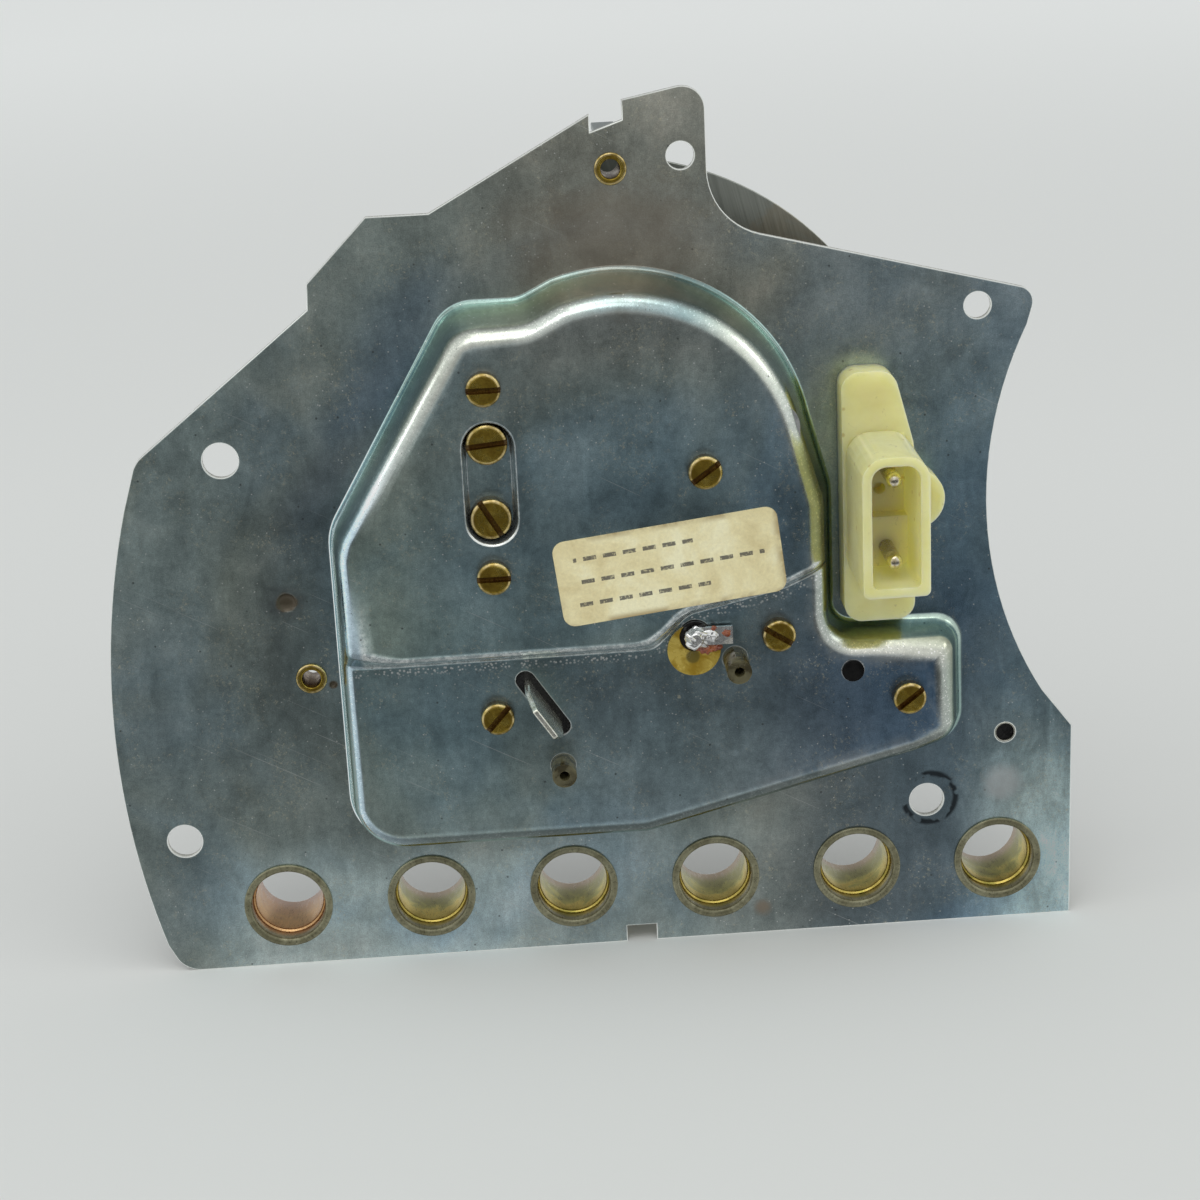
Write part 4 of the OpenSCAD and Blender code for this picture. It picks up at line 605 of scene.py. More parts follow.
def zinc_rear():
    """Blue passivated zinc: cloudy flats, golden green drawn walls, radii lightened partly by wear and partly
    by painted highlight, and painted reflection and shade by place.
    """
    s = Shader("zinc_rear", metallic=1, specular=0.5)
    pan, slope, level, upper, pocket = (s.attribute(name)
        for name in ("pan", "slope", "level", "upper", "pocket"))
    x, z = s.place().axis("X"), s.place().axis("Z")
    cloud, patch = s.noise(0.045, 5, 0.6, 0.8), s.noise(0.17, 6, 0.68, 0.5)
    fine, grain = s.noise(1.3, 5, 0.7), s.noise(6, 3, 0.65)
    tone, floor_mask = cloud * 0.5 + patch * 0.5, level.band(4, 5.8)
    flat = tone.ramp((0.36, (0.265, 0.32, 0.305)), (0.5, (0.335, 0.4, 0.38)), (0.64, (0.4, 0.455, 0.425)))
    flat = flat.tint(0.8, s.noise(0.022, 3, 0.5, 1.2).ramp((0.38, (0.88, 0.98, 1.12)), (0.5, 1),
        (0.62, (1.06, 0.99, 0.95))))
    # tones of the flange and of both levels, each where its mask is 1: partly the zinc's own tone, partly
    # painted reflection that makes the flat metal lighter or darker by place; the last two are fine grain
    for mask, colour in (
            (x.band(66, 96), (0.96, 1.08, 1.22)),
            (x.band(4, -6) * z.band(34, 52), (1.25, 1.2, 1.12)),
            (z.band(62, 84) * x.band(20, 40), (1.1, 0.97, 0.9)),
            (x.band(-6, 3) * z.band(14, 30) * z.band(66, 50), (0.68, 0.72, 0.76)),
            # painted reflection: the lower right corner lighter, the right of the lower level darker, the
            # bottom flange lighter and less so in its middle
            (x.band(92, 104) * z.band(22, 8), (2.15, 2.1, 2)),
            (x.band(64, 80) * x.band(104, 92) * z.band(48, 34), (0.62, 0.65, 0.72)),
            (z.band(11, 1) * x.band(82, 56) * x.band(-14, -4), (1.95, 2, 2.1)),
            (z.band(11, 1) * x.band(26, 42) * x.band(86, 70), 0.68),
            (z.band(97, 107) * x.band(48, 56), (1.3, 1.3, 1.32)),
            (floor_mask, (0.92, 1.02, 1.1)),
            (floor_mask * (x + z * 0.35).band(56, 26), (1.25, 1.2, 1.1)),
            (floor_mask * z.band(24, 12), (0.9, 0.9, 0.92)),
            (floor_mask * x.band(30, 16) * z.band(35, 42), (1.14, 1.1, 1.03)),
            (upper.band(0.5, 2.5) * z.band(58, 42) * x.band(62, 46), (1.38, 1.34, 1.26)),
            (floor_mask * z.band(74, 84), (0.84, 0.82, 0.84)),
            (pan.band(-10, -3) * pan.band(0.5, 0) * x.band(32, 20) * z.band(44, 60), (0.7, 0.76, 0.88)),
            (floor_mask * x.band(58, 72), (0.94, 0.94, 0.99)),
            (floor_mask * z.band(38, 32) * x.band(36, 46), (1.15, 1.15, 1.2)),
            (1, fine.ramp((0.3, 0.84), (0.5, 0.98), (0.72, 1.14))),
            (0.9, grain.ramp((0.32, 0.74), (0.68, 1.16)))):
        flat = flat.tint(mask, colour)
    wipe = s.noise(1, 5, 0.7, 0.5, s.place((0.34, 1, 0.11), (60, 0, 4)))
    flat = flat.tint(x.band(84, 98) * z.band(34, 20) * 0.6 | 0.3,
        wipe.ramp((0.34, 0.62), (0.5, 0.98), (0.66, 1.45)))
    ochre = s.noise(2.2, 6, 0.8, 0.4, at=(17, 3, 9)).band(0.54, 0.66)
    flat = flat.mix(ochre * s.noise(0.12, 4, 0.65, 0.6, at=(8, 1, 4)).band(0.47, 0.6) * 0.5,
        (0.86, 0.8, 0.58))

    # drawn wall from its root to the top radius, and the step between the levels
    wobble = pan + (patch - 0.5) * 0.4
    # paler at the root and over the top radius: partly the passivation's colour, partly painted highlight
    wall = (wobble * 0.2).ramp((0, (0.38, 0.52, 0.5)), (0.14, (0.4, 0.56, 0.5)), (0.24, (0.39, 0.5, 0.365)),
        (0.36, (0.305, 0.36, 0.285)), (0.56, (0.28, 0.31, 0.28)), (0.9, (0.52, 0.56, 0.52)))
    wall = wall.grain(0.6, fine, 0.75, 1.2)
    # painted highlight along the root radius, left of the crown and on the crown's right side
    wall = wall.tint(x.band(38, 31) | x.band(60, 66) * z.band(62, 72),
        pan.ramp((0, 2), (0.2, 2), (0.34, 0.7), (0.52, 0.8), (0.7, 1.45), (0.95, 1.2)))
    # painted highlight: pale grainy specks across the upper wall and the top radius
    bright = pan.band(1.6, 3.2) * s.cells(3, at=(2, 2, 2)).band(0.42, 0.18) * fine.band(0.38, 0.6, 0, 0.55)
    wall = wall.mix(bright, (0.86, 0.86, 0.8))
    pits = s.cells(2.6).band(0.3, 0.14) * grain.band(0.46, 0.6) * pan.band(1.7, 2.4) * patch.band(0.42, 0.6)
    wall = wall.mix(pits, (0.12, 0.13, 0.12))
    crest = pan.band(2.2, 3.2) * z.band(66, 77)
    along_top = pan * 0.344 - level * 0.086
    # painted light on the walls, row by row: painted shade on the crown's wall, which is also bluer; painted
    # highlight on the left wall and on the arm's corner below the connector; the crest dimmer at the left and
    # lighter over the crown; a painted highlight band across the top radius; painted shade on the left and
    # bottom radii
    for mask, colour in (
            (z.band(74, 82) * x.band(40, 48) * x.band(66, 56), (0.4, 0.56, 0.68)),
            (x.band(22, 11), (2.2, 2.3, 2.6)),
            (x.band(76, 80) * z.band(30, 36), (1.8, 1.62, 1.55)),
            (crest * x.band(40, 34), (0.72, 0.7, 0.66)),
            (crest * x.band(41, 47), (1.4, 1.38, 1.3)),
            (1, along_top.ramp((0.02, 0.8), (0.26, 0.78), (0.42, 1.6), (0.58, 1.45), (0.78, 0.85),
            (0.95, 0.7))),
            (pan.band(2, 3.2) * (x.band(18, 13) | z.band(26, 16)), (0.52, 0.58, 0.62))):
        wall = wall.tint(mask, colour)
    # the step between the levels, pale and speckled: painted highlight
    step = pan.band(5.4, 6.4) * upper.band(-0.2, 0.3)
    wall = wall.mix(step, s.mix(fine.band(0.4, 0.62), (0.4, 0.46, 0.47), (0.76, 0.8, 0.79)))
    # painted shade on the pocket's walls
    wall = wall.mix(pocket.band(-0.05, 0.1) * pocket.band(1.3, 0.8) * 0.55, (0.14, 0.17, 0.18))
    # painted highlight on the pocket's lower rim
    pocket_rim_highlight = pocket.band(-0.45, -0.05) * pocket.band(0.45, 0.15)
    wall = wall.mix(pocket_rim_highlight * z.band(56.5, 54), (0.95, 0.97, 0.93))
    steep = slope.band(0.02, 0.4) * pan.band(-0.8, -0.2)

    def spot(cx, cz, r0, r1, squash=1):
        return (s.away(cx, cz, squash) + (patch - 0.5) * r1).band(r1, r0)

    # the top radii paler in patches toward the upper right: partly rubbed passivation, partly painted
    # highlight
    rub_and_sheen = pan.band(2, 3.4) * pan.band(6.2, 3.8) * patch.band(0.38, 0.6) * (x + z).band(60, 100)
    seam = upper.band(-1.5, -0.6) * upper.band(0.1, -0.3) * floor_mask * s.cells(2.1).band(0.42, 0.22)
    specks = s.cells(1.1).band(0.13, 0.06) * s.noise(0.08, 3).band(0.42, 0.56)
    scratch = s.noise(1, 1, 0.4, 0.3, s.place((0.045, 1, 4.5), (5, 0, 9), -0.5)).band(0.74, 0.78)
    blot = spot(3.5, 44.4, 1.2, 1.7) | spot(8.8, 32.3, 0.5, 0.8)
    haze = spot(50, 91, 4, 18, 1.6) * 0.5 | spot(66.5, -5.2, 0.3, 1.8) * 0.9
    ring = s.away(90.4, 9.9).band(3, 3.5) * s.away(90.4, 9.9).band(4.3, 3.8)
    ring = ring * s.noise(0.33, 2, 0.5, 0, at=(3, 4, 5)).band(0.52, 0.58)
    # painted highlight along the rolled edges of the plate and its holes, weaker inside the pan; it also
    # makes them less metallic
    sheared = s.attribute("edge").band(0.16, 0.05) * (1 - floor_mask * 0.55)
    colour = flat.mix(steep, wall)
    for mask, tone_over in (
            (rub_and_sheen * 0.25, (0.8, 0.82, 0.78)),
            (seam * 0.8, (0.86, 0.88, 0.86)),
            (specks * 0.8, (0.86, 0.88, 0.85)),
            (s.cells(0.33, at=(31, 7, 12)).band(0.07, 0.03) * 0.7, (0.08, 0.09, 0.09)),
            (scratch * 0.4, (0.75, 0.77, 0.76)),
            (spot(3.5, 44.4, 1.4, 3.4) * 0.5, (0.12, 0.13, 0.13)),
            (blot, (0.07, 0.055, 0.035)),
            (haze, (0.42, 0.35, 0.27)),
            (spot(100.5, 11.6, 1.2, 3.4) * 0.7, (0.8, 0.84, 0.84)),
            (ring * 0.9, (0.03, 0.035, 0.04)),
            (sheared * 0.9, (0.93, 0.95, 0.91))):
        colour = colour.mix(mask, tone_over)
    s.feed(1 - (step * steep * 0.25 | sheared * 0.85 | blot * 0.6), s.inputs["Metallic"])
    wave = s.bump(s.noise(0.1, 2, 0.4), 0.12, 1)
    return s.done(colour, tone.band(0.3, 0.7, 0.28, 0.37) - steep * 0.13, fine + grain * 0.5, 0.2, 0.04, wave)


def zinc_front():
    s = Shader("zinc_front", metallic=1)
    cloud, fine = s.noise(0.12, 6, 0.65, 0.5), s.noise(1.6, 5, 0.7)
    flat = cloud.ramp((0.35, (0.25, 0.29, 0.29)), (0.5, (0.3, 0.34, 0.335)), (0.66, (0.35, 0.38, 0.365)))
    return s.done(flat.grain(0.6, fine, 0.6, 1.4), cloud.band(0.3, 0.7, 0.34, 0.48), fine, 0.2, 0.05)


def cut_edge():
    """Sheared sheet: bright burnished band beside a dull torn one."""
    s = Shader("cut_edge", metallic=0.6)
    across = s.place().axis("Y")
    lines = s.noise(1, 4, 0.6, 0, s.place((5, 0.6, 5)))
    tone = (across.band(0.2, 0.8, 0, 0.5) + lines * 0.5).ramp((0.2, (0.86, 0.87, 0.82)),
        (0.55, (0.62, 0.63, 0.58)), (0.8, (0.4, 0.4, 0.36)))
    return s.done(tone, lines.band(0.3, 0.7, 0.28, 0.5), lines, 0.25, 0.06)


def metal(name, dark, light, rough, scale, bump=0.15, brushed=(1, 1, 1), patina=None, amount=0):
    """Metal with a cloudy tone, fine grain, and grime or patina in patches."""
    s = Shader(name, metallic=1)
    cloud, fine = s.noise(0.35 * scale, 5, 0.6, 0.6), s.noise(2.6 * scale, 5, 0.7, 0, s.place(brushed))
    colour = s.mix(cloud.band(0.34, 0.66), dark, light).grain(0.5, fine, 0.6, 1.35)
    polish = fine.band(0.3, 0.7, *rough)
    if patina:
        mask = s.noise(0.9 * scale, 6, 0.7, 0.3, at=(9, 3, 5)).band(0.45, 0.62) * amount
        colour, polish = colour.mix(mask, patina), polish + mask * 0.25
    return s.done(colour, polish, fine, bump, 0.04)


def plastic(name, dark, light, rough, scale, bump=0.1, dust=0, **values):
    """Moulded plastic with a cloudy tone, fine grain and dust in patches."""
    s = Shader(name, **values)
    cloud, fine = s.noise(0.22 * scale, 4, 0.55, 0.4), s.noise(3 * scale, 4, 0.6)
    colour = s.mix(cloud.band(0.34, 0.66), dark, light)
    if dust:
        colour = colour.mix(s.noise(1.4 * scale, 5, 0.7).band(0.52, 0.68) * dust, (0.45, 0.44, 0.4))
    return s.done(colour, (cloud * 0.5 + fine * 0.5).band(0.35, 0.65, *rough), fine, bump, 0.04)


def brass(name, at_list, rim, top, bore=0.5):
    """Turned brass with tool marks round each screw, olive patina, a painted highlight round the rim and
    grime below the top.
    """
    s = Shader(name, metallic=1)
    nearest = None
    for x, z in at_list:
        away = s.away(x, z)
        nearest = away if nearest is None else s.math("MINIMUM", nearest, away)
    rings = s.math("SINE", nearest * 34)
    patch, fine = s.noise(0.7, 4, 0.6, 0.4), s.noise(3.5, 5, 0.7)
    colour = patch.ramp((0.36, (0.2, 0.13, 0.02)), (0.5, (0.32, 0.22, 0.035)), (0.64, (0.5, 0.37, 0.08)))
    colour = colour.grain(0.5, fine, 0.55, 1)
    # painted highlight round the rim
    rim_highlight = nearest.band(rim * 0.8, rim * 0.9) * s.noise(1.2, 3).band(0.38, 0.6, 0.25, 1)
    colour = colour.mix(rim_highlight * 0.55, (1, 0.82, 0.45))
    deep = s.place().axis("Y") - top
    grime = deep.band(bore * 0.45, bore) * fine.band(0.3, 0.6, 0.98, 0.7)
    colour = colour.mix(grime, (0.075, 0.028, 0.012))
    return s.done(colour, patch.band(0.35, 0.65, 0.36, 0.22), rings * 0.3 + fine, 0.3, 0.03)


def lamp_metal():
    """Yellow passivated tube: pale rim, and rainbow colours down its inside."""
    s = Shader("yellow_passivation", metallic=1)
    y = s.place().axis("Y")
    patch, fine = s.noise(0.3, 5, 0.6, 1), s.noise(2.5, 5, 0.7, 0, s.place((1, 0.25, 1)))
    rim = s.mix(patch.band(0.35, 0.65), (0.15, 0.14, 0.08), (0.26, 0.25, 0.16))
    run = y * 0.075 + patch * 0.9
    inside = run.ramp((0.3, (0.17, 0.17, 0.03)), (0.46, (0.34, 0.31, 0.06)), (0.6, (0.52, 0.42, 0.1)),
        (0.72, (0.6, 0.5, 0.14)), (0.85, (0.38, 0.38, 0.12)), (1, (0.24, 0.25, 0.09)))
    x = s.place().axis("X")
    inside = inside.mix(x.band(12, 8, 0.1, 0.7), (0.56, 0.3, 0.19))
    # pinkish grey toward the far end: painted reflection
    inside = inside.mix(y.band(8, 10.5, 0, 0.6), (0.42, 0.29, 0.24))
    colour = rim.mix(y.band(0.3, 1.6), inside)
    colour = colour.grain(0.55, fine, 0.6, 1.4)
    s.feed(y.band(0.3, 1.6, 0.45, 1), s.inputs["Metallic"])
    return s.done(colour, fine.band(0.3, 0.7, 0.24, 0.4), fine, 0.2, 0.04)


def label_paper():
    """Aged cream paper with rows of plain dashes, in the label's own frame."""
    s = Shader("label_paper", specular=0.3)
    own = s.place((1, 1, 1), (54.6, 0, 49), math.radians(6.6))
    u, v = own.axis("X"), own.axis("Z")
    stain, fibre = s.noise(0.16, 5, 0.6, 0.5), s.noise(2.2, 5, 0.7)
    colour = stain.ramp((0.32, (0.67, 0.575, 0.32)), (0.48, (0.78, 0.7, 0.42)), (0.62, (0.85, 0.8, 0.54)))
    colour = colour.grain(0.35, fibre, 0.75, 1.2)
    ink = None
    for row, (height, first, last) in enumerate([(3.1, -12.4, 3.5), (0, -12.6, 12.6), (-3.1, -12.8, 5)]):
        line = s.math("COMPARE", v, height, 0.28)
        cell = s.math("FRACT", (u + (40 + row * 0.7)) * 0.38)
        dash = s.math("LESS_THAN", cell, 0.66)
        span = s.math("GREATER_THAN", u, first) * s.math("LESS_THAN", u, last)
        mark = line * (dash * span)
        ink = mark if ink is None else ink | mark
    ink = ink * s.noise(3, 3).band(0.3, 0.5, 0.35, 0.85)
    colour = colour.mix(ink, (0.05, 0.05, 0.055))
    edge = s.math("ABSOLUTE", u).band(13.6, 15) | s.math("ABSOLUTE", v).band(4.9, 5.9)
    colour = colour.mix(edge * stain.band(0.4, 0.6), (0.42, 0.33, 0.17))
    return s.done(colour, 0.6, fibre, 0.2, 0.05)


def nylon():
    """Unpainted nylon: yellow green, waxy and translucent, dirty in its corners, with painted light inside
    its cavity.
    """
    s = Shader("natural_nylon", sss=0.9, sss_scale=0.008, sss_radius=(1, 0.85, 0.4), ior=1.45, specular=0.4)
    cloud, fine = s.noise(0.16, 4, 0.5, 0.5), s.noise(1.7, 5, 0.65)
    colour = cloud.ramp((0.3, (0.65, 0.6, 0.27)), (0.5, (0.7, 0.655, 0.32)), (0.7, (0.75, 0.71, 0.375)))
    y = s.place().axis("Y")
    colour = colour.mix(y.band(-3, 1, 0, 0.25), (0.66, 0.56, 0.17))
    x, z = s.place().axis("X"), s.place().axis("Z")
    # painted light: the inside of the cavity paler, as if lit through its thin walls
    cavity = s.math("ABSOLUTE", x - 83.35).band(3.3, 2.9) * s.math("ABSOLUTE", z - 55.1).band(9.15, 8.85)
    colour = colour.mix(cavity * y.band(-17.6, -15), (0.9, 0.82, 0.44))
    grime = s.noise(0.7, 6, 0.75, 0.6, at=(4, 8, 2)).band(0.6, 0.72) * 0.5
    colour = colour.mix(grime, (0.38, 0.33, 0.2))
    flecks = s.cells(0.3, at=(1, 2, 7)).band(0.12, 0.06, 0, 0.6)
    colour = colour.mix(flecks, (0.4, 0.25, 0.07))
    return s.done(colour, fine.band(0.3, 0.7, 0.34, 0.5), fine, 0.12, 0.05)


def tinned():
    s = Shader("tinned_blade", metallic=0.92)
    cloud, fine = s.noise(0.7, 6, 0.7, 0.5), s.noise(3, 4, 0.6, 0, s.place((1, 0.3, 1)))
    colour = cloud.ramp((0.34, (0.5, 0.5, 0.4)), (0.5, (0.8, 0.8, 0.7)), (0.66, (0.96, 0.96, 0.9)))
    return s.done(colour.grain(0.5, fine, 0.6, 1.4), cloud.band(0.35, 0.65, 0.3, 0.14), cloud, 0.3, 0.08)


def solder():
    s = Shader("solder", metallic=0.85)
    cloud, fine = s.noise(1.1, 4, 0.6, 1.2), s.noise(4, 4, 0.6)
    colour = cloud.ramp((0.36, (0.62, 0.62, 0.61)), (0.5, (0.86, 0.86, 0.85)), (0.62, (0.96, 0.96, 0.95)))
    return s.done(colour, fine.band(0.3, 0.7, 0.04, 0.12), cloud, 0.25, 0.1)


def amber(name, dark, light, spot=None, **values):
    s = Shader(name, ior=1.5, **values)
    cloud = s.noise(0.55, 5, 0.6, 0.6)
    colour = s.mix(cloud.band(0.34, 0.64), dark, light)
    if spot:
        colour = colour.mix(s.away(*spot).band(1.1, 0.75), (0.16, 0.12, 0.02))
    return s.done(colour, cloud.band(0.35, 0.65, 0.12, 0.3), cloud, 0.25, 0.08)


def copper_winding(name, across, pitch):
    """Lacquered wire wound across one axis."""
    s = Shader(name, metallic=0.9, coat=0.4)
    wires = s.math("SINE", s.place().axis(across) * pitch)
    cloud = s.noise(0.5, 4, 0.6)
    colour = s.mix(cloud.band(0.35, 0.65), (0.5, 0.2, 0.07), (0.76, 0.36, 0.15))
    colour = colour.mix(wires.band(0.2, -1), (0.16, 0.05, 0.02))
    return s.done(colour, cloud.band(0.35, 0.65, 0.26, 0.4), wires, 0.5, 0.08)


def laminate(name, dark, light, track):
    """Board laminate with faint copper tracks under its lacquer."""
    s = Shader(name, coat=0.25, specular=0.4)
    cloud, weave = s.noise(0.3, 5, 0.6, 0.4), s.noise(2.4, 4, 0.6)
    colour = s.mix(cloud.band(0.35, 0.65), dark, light)
    paths = s.cells(0.16, s.place((1, 0.01, 1)), feature="DISTANCE_TO_EDGE", spread=0.65)
    colour = colour.mix(paths.band(0.16, 0.12, 0, 0.75), track)
    return s.done(colour, weave.band(0.3, 0.7, 0.36, 0.52), paths.band(0.16, 0.12), 0.4, 0.05)


def resistor_bands():
    """Lacquered resistor bodies, each with four colour rings."""
    s = Shader("resistor_body", coat=0.3)
    z, cloud = s.place().axis("Z"), s.noise(0.8, 4, 0.6)
    colour = s.mix(cloud.band(0.35, 0.65), (0.52, 0.36, 0.18), (0.62, 0.46, 0.26))
    for height, band in ((43.6, (0.3, 0.1, 0.03)), (44.7, 0.02), (45.8, (0.5, 0.03, 0.02)),
            (47.3, (0.55, 0.4, 0.1))):
        colour = colour.mix(s.math("COMPARE", z, height, 0.26), band)
    return s.done(colour, cloud.band(0.35, 0.65, 0.3, 0.42), cloud, 0.1, 0.05)


def dial_coat():
    """Matt black print on the front, brushed aluminium on the back."""
    s = Shader("dial_sheet")
    front = s.math("GREATER_THAN", s.place().axis("Y"), 15.78)
    brush = s.noise(1, 4, 0.6, 0, s.place((2.6, 1, 0.03), turn=0.25))
    cloud, fine = s.noise(0.08, 4, 0.6, 1), s.noise(5, 4, 0.6)
    back = s.mix(brush.band(0.36, 0.64), (0.36, 0.38, 0.34), (0.41, 0.43, 0.39))
    back = back.mix(cloud.band(0.5, 0.64, 0, 0.35), (0.4, 0.32, 0.2))
    black = s.mix(fine.band(0.3, 0.7), (0.012, 0.012, 0.013), (0.024, 0.024, 0.025))
    s.feed(1 - front, s.inputs["Metallic"])

    def either(low_back, high_back, low_front, high_front):
        """Brushed on the back, grained on the front."""
        return brush.ramp((0.3, low_back), (0.7, high_back)).mix(front,
            fine.ramp((0.3, low_front), (0.7, high_front)))

    return s.done(back.mix(front, black), either(0.3, 0.44, 0.62, 0.78), either(0, 1, 0, 1), 0.15, 0.05)


# Pieces

def bevelled(node, material, width=0.1, segments=2, angle=32):
    """A CAD node keeps its mesh and gets a material and rounded edges."""
    piece = NODES[node]
    slots = piece.data.materials
    if len(slots):
        for i in range(len(slots)):
            slots[i] = material
    else:
        slots.append(material)
    if width:
        weld = piece.modifiers.new("weld", "WELD")
        weld.merge_threshold = 0.002 * MM
        bevel = piece.modifiers.new("bevel", "BEVEL")
        bevel.width = width * MM
        bevel.segments = segments
        bevel.limit_method = "ANGLE"
        bevel.angle_limit = math.radians(angle)
        bevel.use_clamp_overlap = True
        bevel.harden_normals = True


def lathe(name, places, profile, material, steps):
    """Turned solids about +Y at each place, from [(radius, y), ...]. A radius of 0 closes an end."""
    vertices, faces = [], []
    for place in places:
        rings = []
        for r, y in profile:
            if r <= 0:
                rings.append([len(vertices)] * steps)
                vertices.append((place[0], y, place[1]))
            else:
                rings.append(list(range(len(vertices), len(vertices) + steps)))
                vertices += [(x, y, z) for x, z in circle(place, r, steps)]
        for low, high in zip(rings, rings[1:]):
            for i in range(steps):
                j = (i + 1) % steps
                quad = tuple(dict.fromkeys((low[i], low[j], high[j], high[i])))
                if len(quad) > 2:
                    faces.append(quad)
    return add_object(name, vertices, faces, [material])


make_plate([zinc_rear(), zinc_front(), cut_edge()])
LUG_X, LUG_WIDTH = 49.3, 3


def make_lug(name, lower, upper):
    """Lug bent forward at a notch, with a rounded outer corner and a sheared tip."""
    profile = [(0.6, lower), (0.6, upper), (8.6, upper), (8.9, upper - 0.15), (9, upper - 0.4),
        (9, lower + 0.4), (8.9, lower + 0.15), (8.6, lower)]
    n = len(profile)
    vertices = [(x, y, z) for x in (LUG_X - LUG_WIDTH / 2, LUG_X + LUG_WIDTH / 2) for y, z in profile]
    faces = [tuple(range(n)), tuple(range(n, 2 * n))[::-1]] + between(n, 0, n)
    piece = add_object(name, vertices, faces, [zinc_front()], smooth=False)
    bevel = piece.modifiers.new("bevel", "BEVEL")
    bevel.width, bevel.segments = 0.12 * MM, 2


make_lug("lug_bottom", -6.7, -5.7)
make_lug("lug_top", 103.95, 104.85)

# Lamp tubes: rolled rim, seat, shoulder and tube
rim = [(5.6, 1), (5.6, 0), (6.02, 0), (6.13, -0.06), (6.16, -0.16), (6.12, -0.27), (6, -0.34), (5.85, -0.35),
    (5.5, -0.35), (5.3, -0.31), (5.18, -0.2), (5.12, -0.02), (5.1, 0.3), (5.1, 1.6), (5.05, 1.85),
    (4.93, 1.98), (4.84, 2.02), (4.75, 2.12), (4.7, 2.3), (4.7, 11), (4.76, 11.2), (4.9, 11.25),
    (5.08, 11.22), (5.2, 11),
    (5.2, 2.9), (5.28, 2.6), (5.5, 2.4), (5.6, 2.2), (5.6, 1)]
tubes = lathe("lamp_tube_shells", LAMPS, rim, lamp_metal(), 72)
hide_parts("lamp_tubes")

# Brass
bevelled("threaded_inserts", brass("brass_inserts", INSERTS, 2.1, -0.35, 1.2), 0.2, 3)


def screws(name, node, places, turns, r, height, shank):
    """Cheese-head screws: a rolled rim, a driver slot and a shank, in place of the CAD's plain ones."""
    low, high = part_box(node)
    top, end = low[1] / MM, high[1] / MM
    rim, slot, lip, deep, rolled, steps, stem_steps = 0.55, 0.35, 0.04, 0.8, 0.42, 56, 24
    outermost = r * 0.9985
    vertices, faces = [], []
    for place, turn in zip(places, turns):
        flat, edges = [], []
        for inner in (0, 0.05, 0.12, 0.21, 0.32, 0.44, 0.57, 0.9):
            edges += [(len(flat) + i, len(flat) + (i + 1) % steps) for i in range(steps)]
            flat += [Vector(p) for p in circle((0, 0), r - inner, steps)]
        for v in (-slot - lip, -slot, slot, slot + lip):
            edges.append((len(flat), len(flat) + 1))
            flat += [Vector((-r - 1, v)), Vector((r + 1, v))]
        out, _, tri = delaunay_2d_cdt(flat, edges, [], 0, 1e-5)[:3]
        tri = [t for t in tri if sum((out[i] for i in t), Vector((0, 0))).length / 3 < outermost]
        index = {old: len(vertices) + new for new, old in enumerate(sorted({i for t in tri for i in t}))}
        spin = Matrix.Rotation(math.radians(turn), 2)
        border = []
        for i in index:
            p = out[i]
            inner = max(0, min(rim, r - p.length))
            round_off = rolled * (1 - math.sqrt(max(0, 1 - ((rim - inner) / rim) ** 2)))
            cut = deep * max(0, min(1, (slot + lip - abs(p.y)) / lip))
            at = spin @ p
            vertices.append((place[0] + at.x, top + max(round_off, cut), place[1] + at.y))
            if p.length > outermost:
                border.append((math.atan2(at.y, at.x), index[i]))
        for t in tri:
            a, b, c = (out[i] for i in t)
            faces.append(tuple(index[i] for i in (t[::-1] if (b - a).cross(c - a) < 0 else t)))
        border.sort()
        foot = len(vertices)
        n = len(border)
        vertices += [(vertices[i][0], top + height, vertices[i][2]) for _, i in border]
        faces += [(border[k][1], foot + k, foot + (k + 1) % n, border[(k + 1) % n][1]) for k in range(n)]
        stem = len(vertices)
        vertices += [(x, y, z) for y in (top + height, end) for x, z in circle(place, shank, stem_steps)]
        faces += [tuple(range(foot, stem))[::-1], tuple(range(stem + stem_steps, len(vertices)))[::-1]]
        faces += between(stem + stem_steps, stem, stem_steps)
    piece = add_object(name, vertices, faces, [brass("brass_" + node, places, r, top)])
    piece.data.set_sharp_from_angle(angle=math.radians(38))
    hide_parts(node)


screws("movement_screw_set", "movement_screws", [(31.6, 74.4), (31.5, 49.2), (59.6, 61.8)], (0, 0, 35),
    2.25, 1.6, 1.2)
screws("pole_screw_set", "pole_screws", [(31.6, 66.8), (31.6, 56.8)], (5, -60), 2.72, 2, 1.45)
screws("clock_screw_set", "clock_screws", [(30.85, 28.5), (69, 37.8), (86.5, 27.7)], (48, -33, 38),
    2.25, 1.6, 1.2)

# Label
bevelled("label", label_paper(), 0.03, 1)

# Connector
bevelled("connector_housing", nylon(), 0.32, 3, 40)
for i, (place, floor_level) in enumerate([((83.35, 60.6), -5.5), ((83.35, 49.65), -8)]):
    dome = [(0, 4.5), (0.8, 4.5), (0.8, floor_level), (1, floor_level), (1, -14.6), (0.99, -14.85),
        (0.93, -15.1), (0.8, -15.29), (0.58, -15.43), (0.3, -15.49), (0, -15.5)]
    pin = lathe(f"contact_pin_{i + 1}", [place], dome, metal(f"contact_plating_{i + 1}", (0.6, 0.54, 0.38),
        (0.92, 0.88, 0.74), (0.1, 0.2), 2, 0.15, (1, 0.2, 1), (0.36, 0.26, 0.12), 0.6), 40)
    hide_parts("connector_pins")

